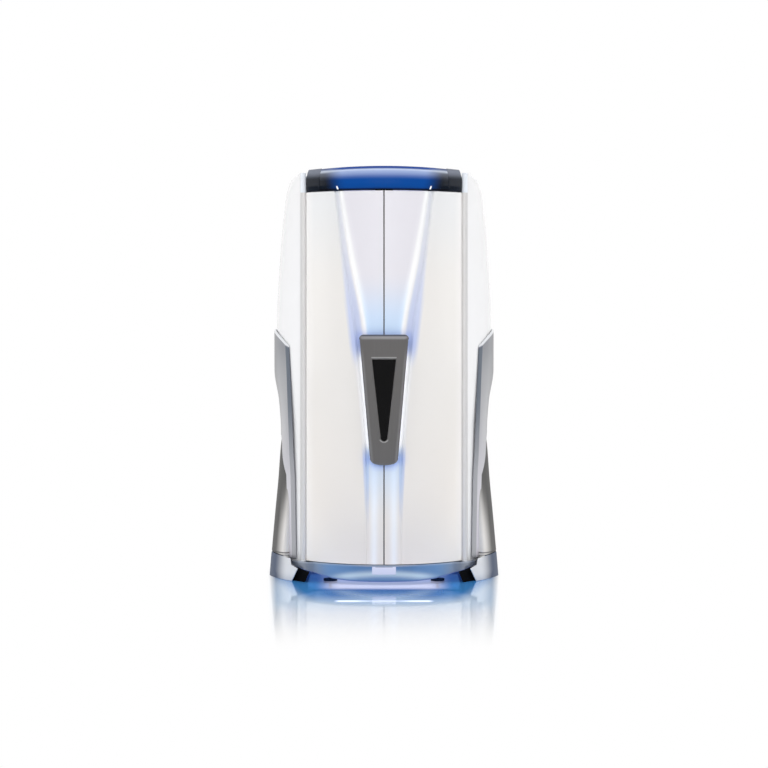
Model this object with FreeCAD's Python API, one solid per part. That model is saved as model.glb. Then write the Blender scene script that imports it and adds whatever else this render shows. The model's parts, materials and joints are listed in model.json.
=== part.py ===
"""Vertical tanning booth: a round lamp cabin with two curved doors, side covers and a roof.

Millimetres. +Z is up, the doors face -Y, +X is the right door's side. The origin is on the
floor, at the middle of the booth. Plan positions are polar: phi is measured from the front
centre line (-Y) towards +X, and a radius is measured from the booth's vertical axis.
"""
import FreeCAD, Part
import math
import os

Vector = FreeCAD.Vector
UP = Vector(0, 0, 1)

# ---------------------------------------------------------------- driving dimensions (mm)
FIT = 0.3                # gap between pieces that move past each other
PIN_FIT = 0.05           # radial running clearance of pins and shafts

# heights above the floor
RING_BOTTOM = 45.0       # underside of the base ring, on its levelling feet
RING_HEIGHT = 60.0       # base ring and top ring section height
FLOOR_PLATE = 6.0        # standing plate thickness
FLOOR_MAT = 4.0          # mat thickness
MAT_GAP = 2.0            # gap round the mat
DOOR_SILL_GAP = 4.0      # air gap under and over the doors
LAMP_LENGTH = 1991.0
LAMP_END_SPACE = 70.5    # from each end of a lamp to the door's edge
ROOF_DECK_RISE = 22.0    # roof deck above the top ring
COVER_RISE = 30.0        # top of the side covers above the roof deck's underside
REAR_DROP = 25.0         # top of the rear cover below the side covers' top
SPIGOT_RISE = 56.0       # exhaust spigot above the roof deck

# plan of the cabin
DOOR_R = 650.0           # outer radius of the door shells
DOOR_ANGLE = 43.7        # each door spans this angle from the seam
SEAM_HALF = 3.0          # half of the gap between the doors
SHIELD_DEPTH = 150.0     # clear shields inside the doors' outer radius
SHIELD = 3.0             # shield thickness
REFLECTOR_DEPTH = 85.0   # reflector sheets inside the doors' outer radius
REFLECTOR = 3.0          # reflector thickness
SKIN = 4.0               # wall of the moulded covers
PLATE = 5.0              # frame sheet thickness
RING_DEPTH = 130.0       # inner edge of the two rings inside the doors' outer radius
FLOOR_DEPTH = 75.0       # edge of floor and ceiling inside the doors' outer radius
POST_DEPTH = 50.0        # middle of the posts inside the doors' outer radius
ROOF_DEPTH = 10.0        # front of the roof deck inside the doors' outer radius
RING_WIDTH = 45.0
RING_WALL = 4.0

# hinge line
HINGE_PHI = 45.8         # angle of the hinge line
HINGE_PROUD = 2.7        # hinge line outside the doors' outer radius
HINGE_TUBE_R = 17.0
HINGE_PIN_R = 8.0
HINGE_PIN_LENGTH = 20.0
HINGE_BOSS_R = 18.0
HINGE_BOSS = 35.0        # height of the boss under the lower bearing
HINGE_HEAD = 114.0       # length of the fixed head over the tube

# lamps
LAMP_R = 19.0            # a 38 mm tube
LAMP_DEPTH = 110.0       # lamp circle inside the doors' outer radius
LAMP_RAIL = 20.0         # height of the holder rails
LAMP_RAIL_DEPTH = 128.0  # inner edge of the rails inside the doors' outer radius
DOOR_LAMPS = 6
SIDE_LAMPS = 12
DOOR_LAMP_FIRST = 4.0    # phi of the lamp next to the seam
DOOR_LAMP_LAST = 40.0
SIDE_LAMP_FIRST = 54.0
SIDE_LAMP_LAST = 164.0

# the pressed groove of each door: groove edge, floor edges, ridge (x) and depth
GROOVE_LOW_Z = 571.0     # above the door's lower edge, beside the pull plate's foot
GROOVE_TOP_Z = 1321.0    # above the door's lower edge, beside the pull plate's top
GROOVE_FOOT = (104.0, 98.0, 90.0, 56.0, 4.0)
GROOVE_LOW = (108.0, 100.0, 90.0, 54.0, 10.0)
GROOVE_TOP = (163.0, 150.0, 127.0, 92.0, 14.0)
GROOVE_HEAD = (290.0, 281.0, 268.0, 246.0, 12.0)
GROOVE_STEPS = 3         # loft sections in the flaring part of the groove

# handle plate
HANDLE_GAP = 28.0        # finger space between door and plate
HANDLE_PLATE = 14.0
HANDLE_TOP = 1430.0
HANDLE_CORNER_Z = 721.0
HANDLE_FOOT_Z = 693.0
HANDLE_TOP_WIDTH = 285.0
HANDLE_FOOT_WIDTH = 161.0
HANDLE_CORNER_R = 15.0
INSET_TOP = 1290.0
INSET_FOOT = 825.0
INSET_TOP_WIDTH = 138.0
INSET_FOOT_WIDTH = 39.0
INSET_DEPTH = 4.0
INSET_FIT = 0.5
SPINE_X = 8.0            # the plate's mounting spine on the right door
SPINE_WIDTH = 40.0
SPINE_BOTTOM = 760.0
SPINE_TOP = 1380.0

# side covers
COVER_CORNER_PHI = 48.5  # where a side cover meets the hinge strip, and the rear cover behind
COVER_BOTTOM = 100.0
COVER_FOOT_PROUD = -38.0     # side of the cover against the doors' outer radius, at the bottom
COVER_SHOULDER = 60.0    # height over which the side turns into the top
COVER_PROFILE = (        # (below the cover's top, side of the cover against the doors' radius)
    (1522.0, -37.0), (1341.0, -23.0), (1130.0, -9.0), (890.0, -2.0), (738.0, -7.0),
    (557.0, -17.0), (376.0, -29.0), (256.0, -41.0), (111.0, -59.0), (50.0, -76.0),
    (25.0, -87.0), (9.0, -105.0), (0.0, -135.0))

# rear cover
REAR_PROUD = 35.0        # middle of the rear wall outside the doors' outer radius
WINDOW_WIDTH = 400.0     # service opening
WINDOW_BOTTOM = 300.0
WINDOW_TOP = 1100.0
WINDOW_LIP = 20.0
PANEL_FIT = 1.5
LOUVRE_WIDTH = 260.0
LOUVRE_HEIGHT = 10.0
LOUVRE_PITCH = 30.0
LOUVRES = 8
LOUVRE_FIRST = 1500.0
PANEL_LOUVRES = 5
PANEL_LOUVRE_FIRST = 900.0
SCREW_INSET = 20.0
SCREW_R = 3.0
SCREW_HEAD_R = 6.0
SCREW_HEAD = 3.0
SCREW_FIT = 0.05
GLAND_Z = 200.0
GLAND_R = 14.0
GLAND_FLANGE_R = 20.0
GLAND_FLANGE = 6.0
GLAND_BORE_R = 9.0
GLAND_PROUD = 7.0        # how far the gland stands out of the rear wall
GLAND_LENGTH = 32.0

# silver side armour, as seen from the side: (behind the cover's front corner, height)
WING_PROUD = 11.0        # outside the doors' outer radius
WING_ANGLES = (47.0, 60.0)   # where its plan starts, and where the drawn-in side starts
WING_FOOT = (4.0, 125.0)
WING_KNEE = (12.0, 603.0)
WING_SHOULDER = (81.0, 1369.0)
WING_PEAK = 1447.0
ARCH_FOOT = (78.0, 125.0)
ARCH_KNEE = (111.0, 603.0)
ARCH_HAUNCH = (231.0, 785.0)
ARCH_CROWN = 848.0
WING_WAIST = ((100.0, 11.0), (603.0, 5.0), (848.0, -28.0), (1029.0, -16.0),
              (1210.0, 12.0), (1460.0, 13.0))    # (height, side against the doors' radius)

# leg covers: (height, outside the doors' outer radius)
LEG_FIRST = 57.0
LEG_LAST = 75.0
LEG_WALL = 5.0
LEG_PROUD = ((126.0, 38.0), (200.0, 38.0), (380.0, 21.0), (559.0, 3.0), (738.0, -10.0),
             (827.0, -18.0))

# feet: (height, outside the doors' outer radius)
FOOT_FIRST = 48.0
FOOT_LAST = 71.0
FOOT_GAP = 2.0           # inner wall of the feet outside the doors' outer radius
FOOT_WALL = 6.0
FOOT_PROUD = ((0.0, 67.0), (40.0, 61.0), (90.0, 45.0), (124.0, 38.0))
TOE_DEPTH = 18.0
TOE = ((2.0, 0.0), (-33.0, 74.0), (6.0, 91.0), (15.0, 0.0))      # (from the foot's edge, height)
BLOCK = ((-2.0, 0.0), (-72.0, 0.0), (-103.0, 56.0), (-108.0, 70.0), (-36.0, 70.0))
BLOCK_DEPTH = (65.0, 9.0)    # back and front of the blocks inside the doors' outer radius
LEVEL_PAD_R = 40.0
LEVEL_PAD = 12.0
LEVEL_STUD_R = 8.0
LEVEL_ANGLES = (35.0, 145.0)

# skirt under the doors
SKIRT_DEPTH = 2.0        # inside the doors' outer radius
SKIRT = 5.0
SKIRT_ANGLE = 56.0
SKIRT_EDGE_MID = 20.0
SKIRT_EDGE_SIDE = (50.0, 66.0)   # angle and height at the end of the curved lower edge
SKIRT_FLANGE_GAP = 1.0   # between the skirt's flange and the floor plate
LENS_ANGLE = 6.0
LENS_BOTTOM = 62.0
LENS_TOP = 106.0
LENS_PROUD = 2.0
LENS_LIP = 3.0

# frame arms on the rings: (phi, radius they reach)
BASE_ARM_WIDTH = 60.0
BASE_ARM_BOTTOM = 70.0
SKIRT_ARM_ANGLE = 30.0   # the arm that carries the skirt between the hinges
COVER_ARM_ANGLE = 52.0   # the arm at the side cover's front corner
FOOT_ARM_ANGLE = 62.0    # the arm that carries a foot and a leg cover
FLOOR_BEAM_Y = 200.0
FLOOR_BEAM_WIDTH = 50.0
FLOOR_BEAM_HEIGHT = 40.0
WELD = 2.0               # how far a welded piece reaches into its neighbour
TOP_ARM_WIDTH = 30.0
TOP_ARM_HEIGHT = 40.0
POST_ANGLE = 54.0
POST = 40.0
POST_WALL = 3.0
CEILING = 3.0

# canopy
CANOPY_CAP_ANGLE = 34.8
CANOPY_PROUD = ((0.0, 0.0), (38.0, 4.0), (78.0, 3.0), (112.0, -7.0), (140.0, -24.0))
CANOPY_CROWN_RISE = 138.0    # above the ceiling's underside
CANOPY_END_RISE = 128.0
CANOPY_WALL = 5.0
CANOPY_JOINT = 1.0       # gap between visor and cap
CANOPY_WALL_DEPTH = 30.0 # how far the cap's end wall reaches in from the doors' circle
CANOPY_ARM_ANGLES = (25.0, 38.0)
LIGHT_BAR_DEPTH = (50.0, 30.0)   # back and front inside the doors' outer radius
LIGHT_BAR_HEIGHT = 12.0
LIGHT_BAR_ANGLE = 30.0

# roof and fans
ROOF_PLATE = 4.0
ROOF_GAP = 1.0           # gap between the deck and the covers
EXHAUST_Y = 210.0
EXHAUST_R = 110.0
SPIGOT_R = 125.0
SPIGOT_WALL = 3.0
SPIGOT_FLANGE_R = 150.0
SPIGOT_FLANGE = 4.0
BREEZE_Y = -180.0
BREEZE_R = 90.0
FAN_WALL = 4.0
FAN_HEIGHT = 60.0
FAN_TIP_GAP = 4.0
FAN_HUB_R = 34.0
FAN_MOTOR = 22.0
FAN_SHAFT_R = 4.0
FAN_BLADES = 6
FAN_BLADE_PITCH = 35.0
FAN_BLADE = 3.0
FAN_BLADE_CHORD = 36.0
FAN_STRUT = 8.0
FAN_STRUTS = 3
FAN_SHAFT_SHORT = 6.0    # how far the shaft ends below the housing's rim

# control column
COLUMN_HALF = 95.0
COLUMN_PROUD = 30.0      # front of the column inside the shields
COLUMN_GAP = 5.0         # back of the column inside the reflectors
TRAY_GAP = 6.4           # end of the trays beside the column
JAMB_TURNS = (1.8, 6.8)  # inner and outer edge of the jambs past the doors' hinge edge, degrees
JAMB_GAP = 10.0          # outer edge of the jambs inside the doors' outer radius
DISPLAY_WIDTH = 140.0
DISPLAY_BOTTOM = 1400.0
DISPLAY_HEIGHT = 120.0
DISPLAY_DEPTH = 8.0
DISPLAY_FRAME = 10.0
BUTTON_R = 11.0
BUTTON_PROUD = 6.0
BUTTON_DEPTH = 16.0
BUTTON_FLANGE_R = 14.0
BUTTON_FLANGE = 2.5
BUTTON_Z = 1330.0
BUTTON_PITCH = 48.0
GRIP_X = 230.0
GRIP_Y = 60.0
GRIP_R = 11.0
GRIP_HALF = 55.0         # half of the distance between a grip's legs
GRIP_DROP = 100.0        # middle of the bar below the ceiling

# electrics
BALLAST_ANGLES = (140.0, 155.0)
BALLAST_ROWS = (500.0, 1000.0, 1500.0)
BALLAST = (70.0, 45.0, 300.0)
CONTROL_BOX = (180.0, 90.0, 500.0)
CONTROL_BOX_Z = 350.0
MAGNET = (40.0, 20.0)
MAGNET_X = 10.0
MAGNET_DEPTH = 30.0      # front of the magnets inside the doors' outer radius
MAGNET_SEAT = 5.0        # how far the top frame's nose reaches past the magnets' front

# ---------------------------------------------------------------- derived heights and places
RING_TOP = RING_BOTTOM + RING_HEIGHT
PLATE_TOP = RING_TOP + FLOOR_PLATE
SILL = PLATE_TOP + FLOOR_MAT
DOOR_HEIGHT = LAMP_LENGTH + 2.0 * LAMP_END_SPACE
DOOR_BOTTOM = SILL + DOOR_SILL_GAP
DOOR_TOP = DOOR_BOTTOM + DOOR_HEIGHT
LAMP_BOTTOM = DOOR_BOTTOM + LAMP_END_SPACE
CEILING_Z = DOOR_TOP + DOOR_SILL_GAP
TOP_RING_Z = CEILING_Z + CEILING
TOP_RING_TOP = TOP_RING_Z + RING_HEIGHT
ROOF_Z = TOP_RING_TOP + ROOF_DECK_RISE
COVER_TOP = ROOF_Z + COVER_RISE
REAR_TOP = COVER_TOP - REAR_DROP
BOOTH_HEIGHT = ROOF_Z + ROOF_PLATE + SPIGOT_RISE
CANOPY_CROWN = CEILING_Z + CANOPY_CROWN_RISE
CANOPY_END = CEILING_Z + CANOPY_END_RISE
BASE_ARM_TOP = COVER_BOTTOM
SHELL_INNER_R = DOOR_R - SKIN
SHIELD_R = DOOR_R - SHIELD_DEPTH
REFLECTOR_R = DOOR_R - REFLECTOR_DEPTH
RING_R = DOOR_R - RING_DEPTH
FLOOR_R = DOOR_R - FLOOR_DEPTH
POST_R = DOOR_R - POST_DEPTH
ROOF_R = DOOR_R - ROOF_DEPTH
LAMP_CIRCLE = DOOR_R - LAMP_DEPTH
LAMP_RAIL_R = DOOR_R - LAMP_RAIL_DEPTH
HINGE_LINE_R = DOOR_R + HINGE_PROUD
WING_R = DOOR_R + WING_PROUD
FOOT_INNER_R = DOOR_R + FOOT_GAP
SKIRT_R = DOOR_R - SKIRT_DEPTH
SKIRT_FLANGE_R = FLOOR_R + SKIRT_FLANGE_GAP
COLUMN_FRONT = SHIELD_R - COLUMN_PROUD
COLUMN_BACK = REFLECTOR_R - COLUMN_GAP
REAR_Y = DOOR_R + REAR_PROUD
GLAND_END_Y = REAR_Y + GLAND_PROUD
GLAND_INNER_Y = GLAND_END_Y - GLAND_LENGTH
MAGNET_Y = MAGNET_DEPTH - DOOR_R
COVER_CORNER_X = DOOR_R * math.sin(math.radians(COVER_CORNER_PHI))
COVER_CORNER_Y = DOOR_R * math.cos(math.radians(COVER_CORNER_PHI))
ROOF_SIDE = COVER_CORNER_X - ROOF_GAP
REAR_SAG = REAR_Y - COVER_CORNER_Y
REAR_R = (COVER_CORNER_X ** 2 + REAR_SAG ** 2) / (2.0 * REAR_SAG)
REAR_AXIS_Y = REAR_Y - REAR_R
REAR_HALF_ANGLE = math.degrees(math.atan2(COVER_CORNER_X, COVER_CORNER_Y - REAR_AXIS_Y))
FOOT_EDGE_X = (DOOR_R + FOOT_PROUD[0][1]) * math.sin(math.radians(FOOT_FIRST))


# ---------------------------------------------------------------- geometry helpers
def polar(radius, phi, z=0.0):
    """The point at a plan radius and an angle from the front centre line."""
    turn = math.radians(phi)
    return Vector(radius * math.sin(turn), -radius * math.cos(turn), z)


def degrees_of(length, radius):
    """The angle that an arc of this length takes on this radius."""
    return math.degrees(length / radius)


def phi_at_x(x, radius):
    """The angle at which a circle of this radius has this x, on the front half."""
    return math.degrees(math.asin(x / radius))


def closed_wire(edges):
    """A closed wire through curves given in order, with straight joints between their ends."""
    joined = []
    for number, edge in enumerate(edges):
        joined.append(edge.toShape())
        end = edge.value(edge.LastParameter)
        following = edges[(number + 1) % len(edges)]
        start = following.value(following.FirstParameter)
        if end.distanceToPoint(start) > 1e-6:
            joined.append(Part.makeLine(end, start))
    return Part.Wire(joined)


def arc_on(radius, first, last, z):
    """An arc about the booth's axis from one angle to another."""
    return Part.Arc(polar(radius, first, z), polar(radius, 0.5 * (first + last), z),
                    polar(radius, last, z))


def sector_wire(inner, outer, first, last, z):
    """A ring sector's outline at one height."""
    return closed_wire([arc_on(outer, first, last, z), arc_on(inner, last, first, z)])


def sector(inner, outer, first, last, bottom, top):
    """A solid ring sector between two angles and two heights."""
    face = Part.Face(sector_wire(inner, outer, first, last, bottom))
    return face.extrude(UP * (top - bottom))


def ring(inner, outer, bottom, top, centre=Vector(0, 0, 0)):
    """A full ring with square section."""
    height = top - bottom
    base = centre + UP * bottom
    return Part.makeCylinder(outer, height, base).cut(Part.makeCylinder(inner, height, base))


def box(x0, x1, y0, y1, z0, z1):
    """A box between pairs of coordinates."""
    return Part.makeBox(x1 - x0, y1 - y0, z1 - z0, Vector(x0, y0, z0))


def polygon_prism(points, direction):
    """A prism on a flat polygon of points."""
    return Part.Face(Part.makePolygon(points + [points[0]])).extrude(direction)


def front_prism(outline, near, far):
    """An (x, z) outline carried along Y."""
    points = [Vector(x, near, z) for x, z in outline]
    return polygon_prism(points, Vector(0, far - near, 0))


def radial_bar(phi, inner, outer, width, bottom, top):
    """A bar that points away from the booth's axis."""
    bar = box(-0.5 * width, 0.5 * width, -outer, -inner, bottom, top)
    bar.rotate(Vector(0, 0, 0), UP, phi)
    return bar


def fuse(shapes):
    """One solid of several that touch or overlap."""
    return shapes[0].multiFuse(shapes[1:]).removeSplitter()


def mirrored(shape):
    """The same piece on the other side of the seam."""
    return shape.mirror(Vector(0, 0, 0), Vector(1, 0, 0))


def front_to_back(shape):
    """The same piece at the rear."""
    return shape.mirror(Vector(0, 0, 0), Vector(0, 1, 0))


def between(pairs, z):
    """The value at a height, read off straight lines between (height, value) pairs."""
    for (z0, v0), (z1, v1) in zip(pairs, pairs[1:]):
        if z <= z1:
            return v0 + (v1 - v0) * (z - z0) / (z1 - z0)
    return pairs[-1][1]


def from_door_radius(pairs):
    """(height, radius) pairs from (height, distance outside the doors' outer radius) pairs."""
    return [(height, DOOR_R + proud) for height, proud in pairs]


HINGE = polar(HINGE_LINE_R, HINGE_PHI)


# ---------------------------------------------------------------- base
def base_arms():
    """Angles and reach of the arms that carry the skirt, hinges, covers, posts and feet."""
    behind_skirt = SKIRT_R - SKIRT
    front = [(SKIRT_ARM_ANGLE, behind_skirt), (HINGE_PHI, behind_skirt),
             (COVER_ARM_ANGLE, behind_skirt), (FOOT_ARM_ANGLE, FOOT_INNER_R)]
    rear = [(180.0 - FOOT_ARM_ANGLE, FOOT_INNER_R), (180.0 - COVER_ARM_ANGLE, behind_skirt)]
    return front + rear


def channel_ring(bottom):
    """A ring of C section, open towards the cabin's axis."""
    outer = RING_R + RING_WIDTH
    body = ring(RING_R, outer, bottom, bottom + RING_HEIGHT)
    groove = ring(RING_R - 1.0, outer - RING_WALL, bottom + RING_WALL,
                  bottom + RING_HEIGHT - RING_WALL)
    return body.cut(groove)


def base_frame():
    """Welded base: channel ring, cross beams under the floor, arms and hinge bosses."""
    pieces = [channel_ring(RING_BOTTOM)]
    reach = RING_R + RING_WALL
    edge = FLOOR_BEAM_Y + 0.5 * FLOOR_BEAM_WIDTH
    half = math.sqrt(reach ** 2 - edge ** 2)
    beam = box(-half, half, edge - FLOOR_BEAM_WIDTH, edge, RING_TOP - FLOOR_BEAM_HEIGHT, RING_TOP)
    pieces += [beam, front_to_back(beam)]
    for phi, tip in base_arms():
        arm = radial_bar(phi, RING_R + RING_WIDTH - WELD, tip, BASE_ARM_WIDTH, BASE_ARM_BOTTOM,
                         BASE_ARM_TOP)
        arm = arm.common(Part.makeCylinder(tip, BASE_ARM_TOP))
        pieces += [arm, mirrored(arm)]
    boss = Part.makeCylinder(HINGE_BOSS_R, HINGE_BOSS, HINGE + UP * (SILL - HINGE_BOSS))
    pieces += [boss, mirrored(boss)]
    return fuse(pieces)


def levelling_feet():
    """Four pads on studs that stand under the ring."""
    feet = []
    middle = RING_R + 0.5 * RING_WIDTH
    for phi in LEVEL_ANGLES:
        for side in (1, -1):
            place = polar(middle, side * phi)
            pad = Part.makeCylinder(LEVEL_PAD_R, LEVEL_PAD, place)
            stud = Part.makeCylinder(LEVEL_STUD_R, RING_BOTTOM, place)
            feet.append(fuse([pad, stud]))
    return Part.makeCompound(feet)


def floor_plate():
    """Round standing plate on the ring."""
    return Part.makeCylinder(FLOOR_R, FLOOR_PLATE, UP * RING_TOP)


def floor_mat():
    """Rubber mat inside the shields, cut out round the column."""
    mat = Part.makeCylinder(SHIELD_R - SHIELD - MAT_GAP, FLOOR_MAT, UP * PLATE_TOP)
    return mat.cut(box(-COLUMN_HALF - MAT_GAP, COLUMN_HALF + MAT_GAP, COLUMN_FRONT - MAT_GAP,
                       COLUMN_BACK, PLATE_TOP, SILL))


def smile_cut():
    """The space under the skirt's curved lower edge."""
    turn, height = SKIRT_EDGE_SIDE
    side = DOOR_R * math.sin(math.radians(turn))
    edge = Part.Arc(Vector(-side, -DOOR_R * 2, height), Vector(0, -DOOR_R * 2, SKIRT_EDGE_MID),
                    Vector(side, -DOOR_R * 2, height))
    reach = 1.5 * DOOR_R
    rise = height + (height - SKIRT_EDGE_MID) * 0.6
    wire = Part.Wire([
        Part.makeLine(Vector(-reach, -DOOR_R * 2, -10), Vector(-reach, -DOOR_R * 2, rise)),
        Part.makeLine(Vector(-reach, -DOOR_R * 2, rise), edge.value(edge.FirstParameter)),
        edge.toShape(),
        Part.makeLine(edge.value(edge.LastParameter), Vector(reach, -DOOR_R * 2, rise)),
        Part.makeLine(Vector(reach, -DOOR_R * 2, rise), Vector(reach, -DOOR_R * 2, -10)),
        Part.makeLine(Vector(reach, -DOOR_R * 2, -10), Vector(-reach, -DOOR_R * 2, -10))])
    return Part.Face(wire).extrude(Vector(0, DOOR_R * 2, 0))


def lens_block(inner, outer, grow):
    """The lens's outline between two radii, larger all round by a margin."""
    margin = degrees_of(grow, SKIRT_R)
    return sector(inner, outer, -LENS_ANGLE - margin, LENS_ANGLE + margin, LENS_BOTTOM - grow,
                  LENS_TOP + grow)


def base_skirt():
    """Curved apron under the doors with a rising lower edge, a top flange and a lens window."""
    wall = sector(SKIRT_R - SKIRT, SKIRT_R, -SKIRT_ANGLE, SKIRT_ANGLE, 0.0, PLATE_TOP)
    flange = sector(SKIRT_FLANGE_R, SKIRT_R, -HINGE_PHI, HINGE_PHI, PLATE_TOP, SILL)
    apron = fuse([wall.cut(smile_cut()), flange])
    apron = apron.cut(lens_block(SKIRT_R - SKIRT - 1.0, SKIRT_R + 1.0, 0.5))
    for side in (1, -1):
        place = Vector(side * HINGE.x, HINGE.y, SILL - HINGE_BOSS - 0.5)
        apron = apron.cut(Part.makeCylinder(HINGE_BOSS_R + 0.5, HINGE_BOSS + 1.0, place))
        under_cover = box(COVER_CORNER_X, SKIRT_R, -SKIRT_R, 0.0, COVER_BOTTOM, SILL)
        apron = apron.cut(under_cover if side > 0 else mirrored(under_cover))
    return apron


def threshold_lens():
    """Clear lens in the skirt's window, with a lip behind the wall."""
    inner = SKIRT_R - SKIRT
    body = lens_block(inner - 1.0, SKIRT_R + LENS_PROUD, 0.0)
    lip = lens_block(inner - LENS_LIP, inner, LENS_LIP)
    return fuse([body, lip])


def from_foot_edge(points):
    """(x, z) points from (distance past the foot's front edge, height) points."""
    return [(FOOT_EDGE_X + offset, z) for offset, z in points]


def foot_blocks():
    """Black blocks under the skirt's ends, inside the front feet."""
    block = front_prism(from_foot_edge(BLOCK), -DOOR_R, 0.0)
    back, front = BLOCK_DEPTH
    keep = sector(DOOR_R - back, DOOR_R - front, 0.5 * FOOT_FIRST, FOOT_LAST, 0.0,
                  BASE_ARM_BOTTOM)
    block = block.common(keep)
    return Part.makeCompound([block, mirrored(block)])


def foot_shell():
    """One flared foot: outer skin, side walls, top and inner wall, open below, with a toe."""
    profile = from_door_radius(FOOT_PROUD)
    outer = Part.makeLoft([sector_wire(FOOT_INNER_R, radius, FOOT_FIRST, FOOT_LAST, z)
                           for z, radius in profile], True, True)
    turn = degrees_of(FOOT_WALL, DOOR_R)
    cavity = []
    for z, radius in profile:
        height = min(z, profile[-1][0] - FOOT_WALL)
        cavity.append(sector_wire(FOOT_INNER_R + FOOT_WALL, radius - FOOT_WALL,
                                  FOOT_FIRST + turn, FOOT_LAST - turn, height))
    hollow = Part.makeLoft(cavity, True, True)
    tip = profile[0][1] * math.cos(math.radians(FOOT_FIRST))
    toe = front_prism(from_foot_edge(TOE), -tip, TOE_DEPTH - tip)
    return fuse([outer.cut(hollow), toe])


# ---------------------------------------------------------------- side and rear covers
def cover_wire(half_width, inset, z):
    """A side cover's plan: one arc through both corners and the side, closed by a chord."""
    sag = half_width - COVER_CORNER_X
    radius = (COVER_CORNER_Y ** 2 + sag ** 2) / (2.0 * sag)
    middle = half_width - radius
    chord = COVER_CORNER_X - (10.0 * inset)
    reach = math.sqrt((radius - inset) ** 2 - (chord - middle) ** 2)
    arc = Part.Arc(Vector(chord, -reach, z), Vector(half_width - inset, 0, z),
                   Vector(chord, reach, z))
    return closed_wire([arc])


def cover_block(inset):
    """The space inside a side cover's outer face, or inside its wall."""
    wires = [cover_wire(DOOR_R + COVER_FOOT_PROUD, inset, COVER_BOTTOM)]
    for drop, proud in COVER_PROFILE:
        sink = inset * max(0.0, 1.0 - drop / COVER_SHOULDER)
        wires.append(cover_wire(DOOR_R + proud, inset, COVER_TOP - drop - sink))
    return Part.makeLoft(wires, True, True)


def rear_sector(inner, outer, half_angle, bottom, top):
    """A sector about the rear cover's own axis."""
    piece = sector(inner, outer, 180.0 - half_angle, 180.0 + half_angle, bottom, top)
    piece.translate(Vector(0, REAR_AXIS_Y, 0))
    return piece


def louvre_slots(count, first):
    """A column of air slots through the rear wall."""
    slots = []
    for number in range(count):
        z = first + number * LOUVRE_PITCH
        slots.append(box(-0.5 * LOUVRE_WIDTH, 0.5 * LOUVRE_WIDTH, COLUMN_BACK, REAR_Y + 10.0, z,
                         z + LOUVRE_HEIGHT))
    return Part.makeCompound(slots)


def screw_places():
    """Angle and height of the service panel's screws."""
    turn = phi_at_x(0.5 * WINDOW_WIDTH - PANEL_FIT - SCREW_INSET, REAR_R)
    low = WINDOW_BOTTOM + PANEL_FIT + SCREW_INSET
    high = WINDOW_TOP - PANEL_FIT - SCREW_INSET
    return [(side * turn, z) for side in (-1, 1) for z in (low, high)]


def rear_rod(radius, inner, outer, turn, z):
    """A round rod through the rear wall, square to its surface."""
    rod = Part.makeCylinder(radius, outer - inner, Vector(0, inner, z), Vector(0, 1, 0))
    rod.rotate(Vector(0, 0, 0), UP, turn)
    rod.translate(Vector(0, REAR_AXIS_Y, 0))
    return rod


def rear_cover():
    """Rear wall with a service window, a lip that the panel seats on, louvres and a gland hole."""
    wall = rear_sector(REAR_R - SKIN, REAR_R, REAR_HALF_ANGLE, COVER_BOTTOM, REAR_TOP)
    window = box(-0.5 * WINDOW_WIDTH, 0.5 * WINDOW_WIDTH, COLUMN_BACK, REAR_Y + 10.0,
                 WINDOW_BOTTOM, WINDOW_TOP)
    margin = WINDOW_LIP + PANEL_FIT
    turn = phi_at_x(0.5 * WINDOW_WIDTH + margin, REAR_R)
    lip = rear_sector(REAR_R - 2.0 * SKIN, REAR_R - SKIN, turn, WINDOW_BOTTOM - margin,
                      WINDOW_TOP + margin)
    inner = 0.5 * WINDOW_WIDTH - 2.0 * margin
    lip = lip.cut(box(-inner, inner, COLUMN_BACK, REAR_Y, WINDOW_BOTTOM + 2.0 * margin,
                      WINDOW_TOP - 2.0 * margin))
    cover = fuse([wall.cut(window), lip]).cut(louvre_slots(LOUVRES, LOUVRE_FIRST))
    for turn, z in screw_places():
        cover = cover.cut(rear_rod(SCREW_R + SCREW_FIT, REAR_R - 3.0 * SKIN, REAR_R, turn, z))
    gland = Part.makeCylinder(GLAND_R + SCREW_FIT, 3.0 * GLAND_FLANGE_R,
                              Vector(0, GLAND_INNER_Y, GLAND_Z), Vector(0, 1, 0))
    return cover.cut(gland)


def service_panel():
    """Curved panel in the rear window."""
    turn = phi_at_x(0.5 * WINDOW_WIDTH - PANEL_FIT, REAR_R)
    panel = rear_sector(REAR_R - SKIN, REAR_R, turn, WINDOW_BOTTOM + PANEL_FIT,
                        WINDOW_TOP - PANEL_FIT)
    panel = panel.cut(louvre_slots(PANEL_LOUVRES, PANEL_LOUVRE_FIRST))
    for turn, z in screw_places():
        panel = panel.cut(rear_rod(SCREW_R + SCREW_FIT, REAR_R - 3.0 * SKIN, REAR_R + SKIN, turn,
                                   z))
    return panel


def panel_screws():
    """Four screws through the panel into the lip."""
    screws = []
    for turn, z in screw_places():
        shank = rear_rod(SCREW_R, REAR_R - 2.0 * SKIN, REAR_R, turn, z)
        head = rear_rod(SCREW_HEAD_R, REAR_R, REAR_R + SCREW_HEAD, turn, z)
        screws.append(fuse([shank, head]))
    return Part.makeCompound(screws)


def inlet_gland():
    """Cable gland in the rear wall."""
    along = Vector(0, 1, 0)
    body = Part.makeCylinder(GLAND_R, GLAND_END_Y - GLAND_INNER_Y,
                             Vector(0, GLAND_INNER_Y, GLAND_Z), along)
    flange = Part.makeCylinder(GLAND_FLANGE_R, GLAND_FLANGE,
                               Vector(0, REAR_Y - SKIN - GLAND_FLANGE - 0.4, GLAND_Z), along)
    bore = Part.makeCylinder(GLAND_BORE_R, GLAND_END_Y - GLAND_INNER_Y,
                             Vector(0, GLAND_INNER_Y, GLAND_Z), along)
    return fuse([body, flange]).cut(bore)


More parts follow.
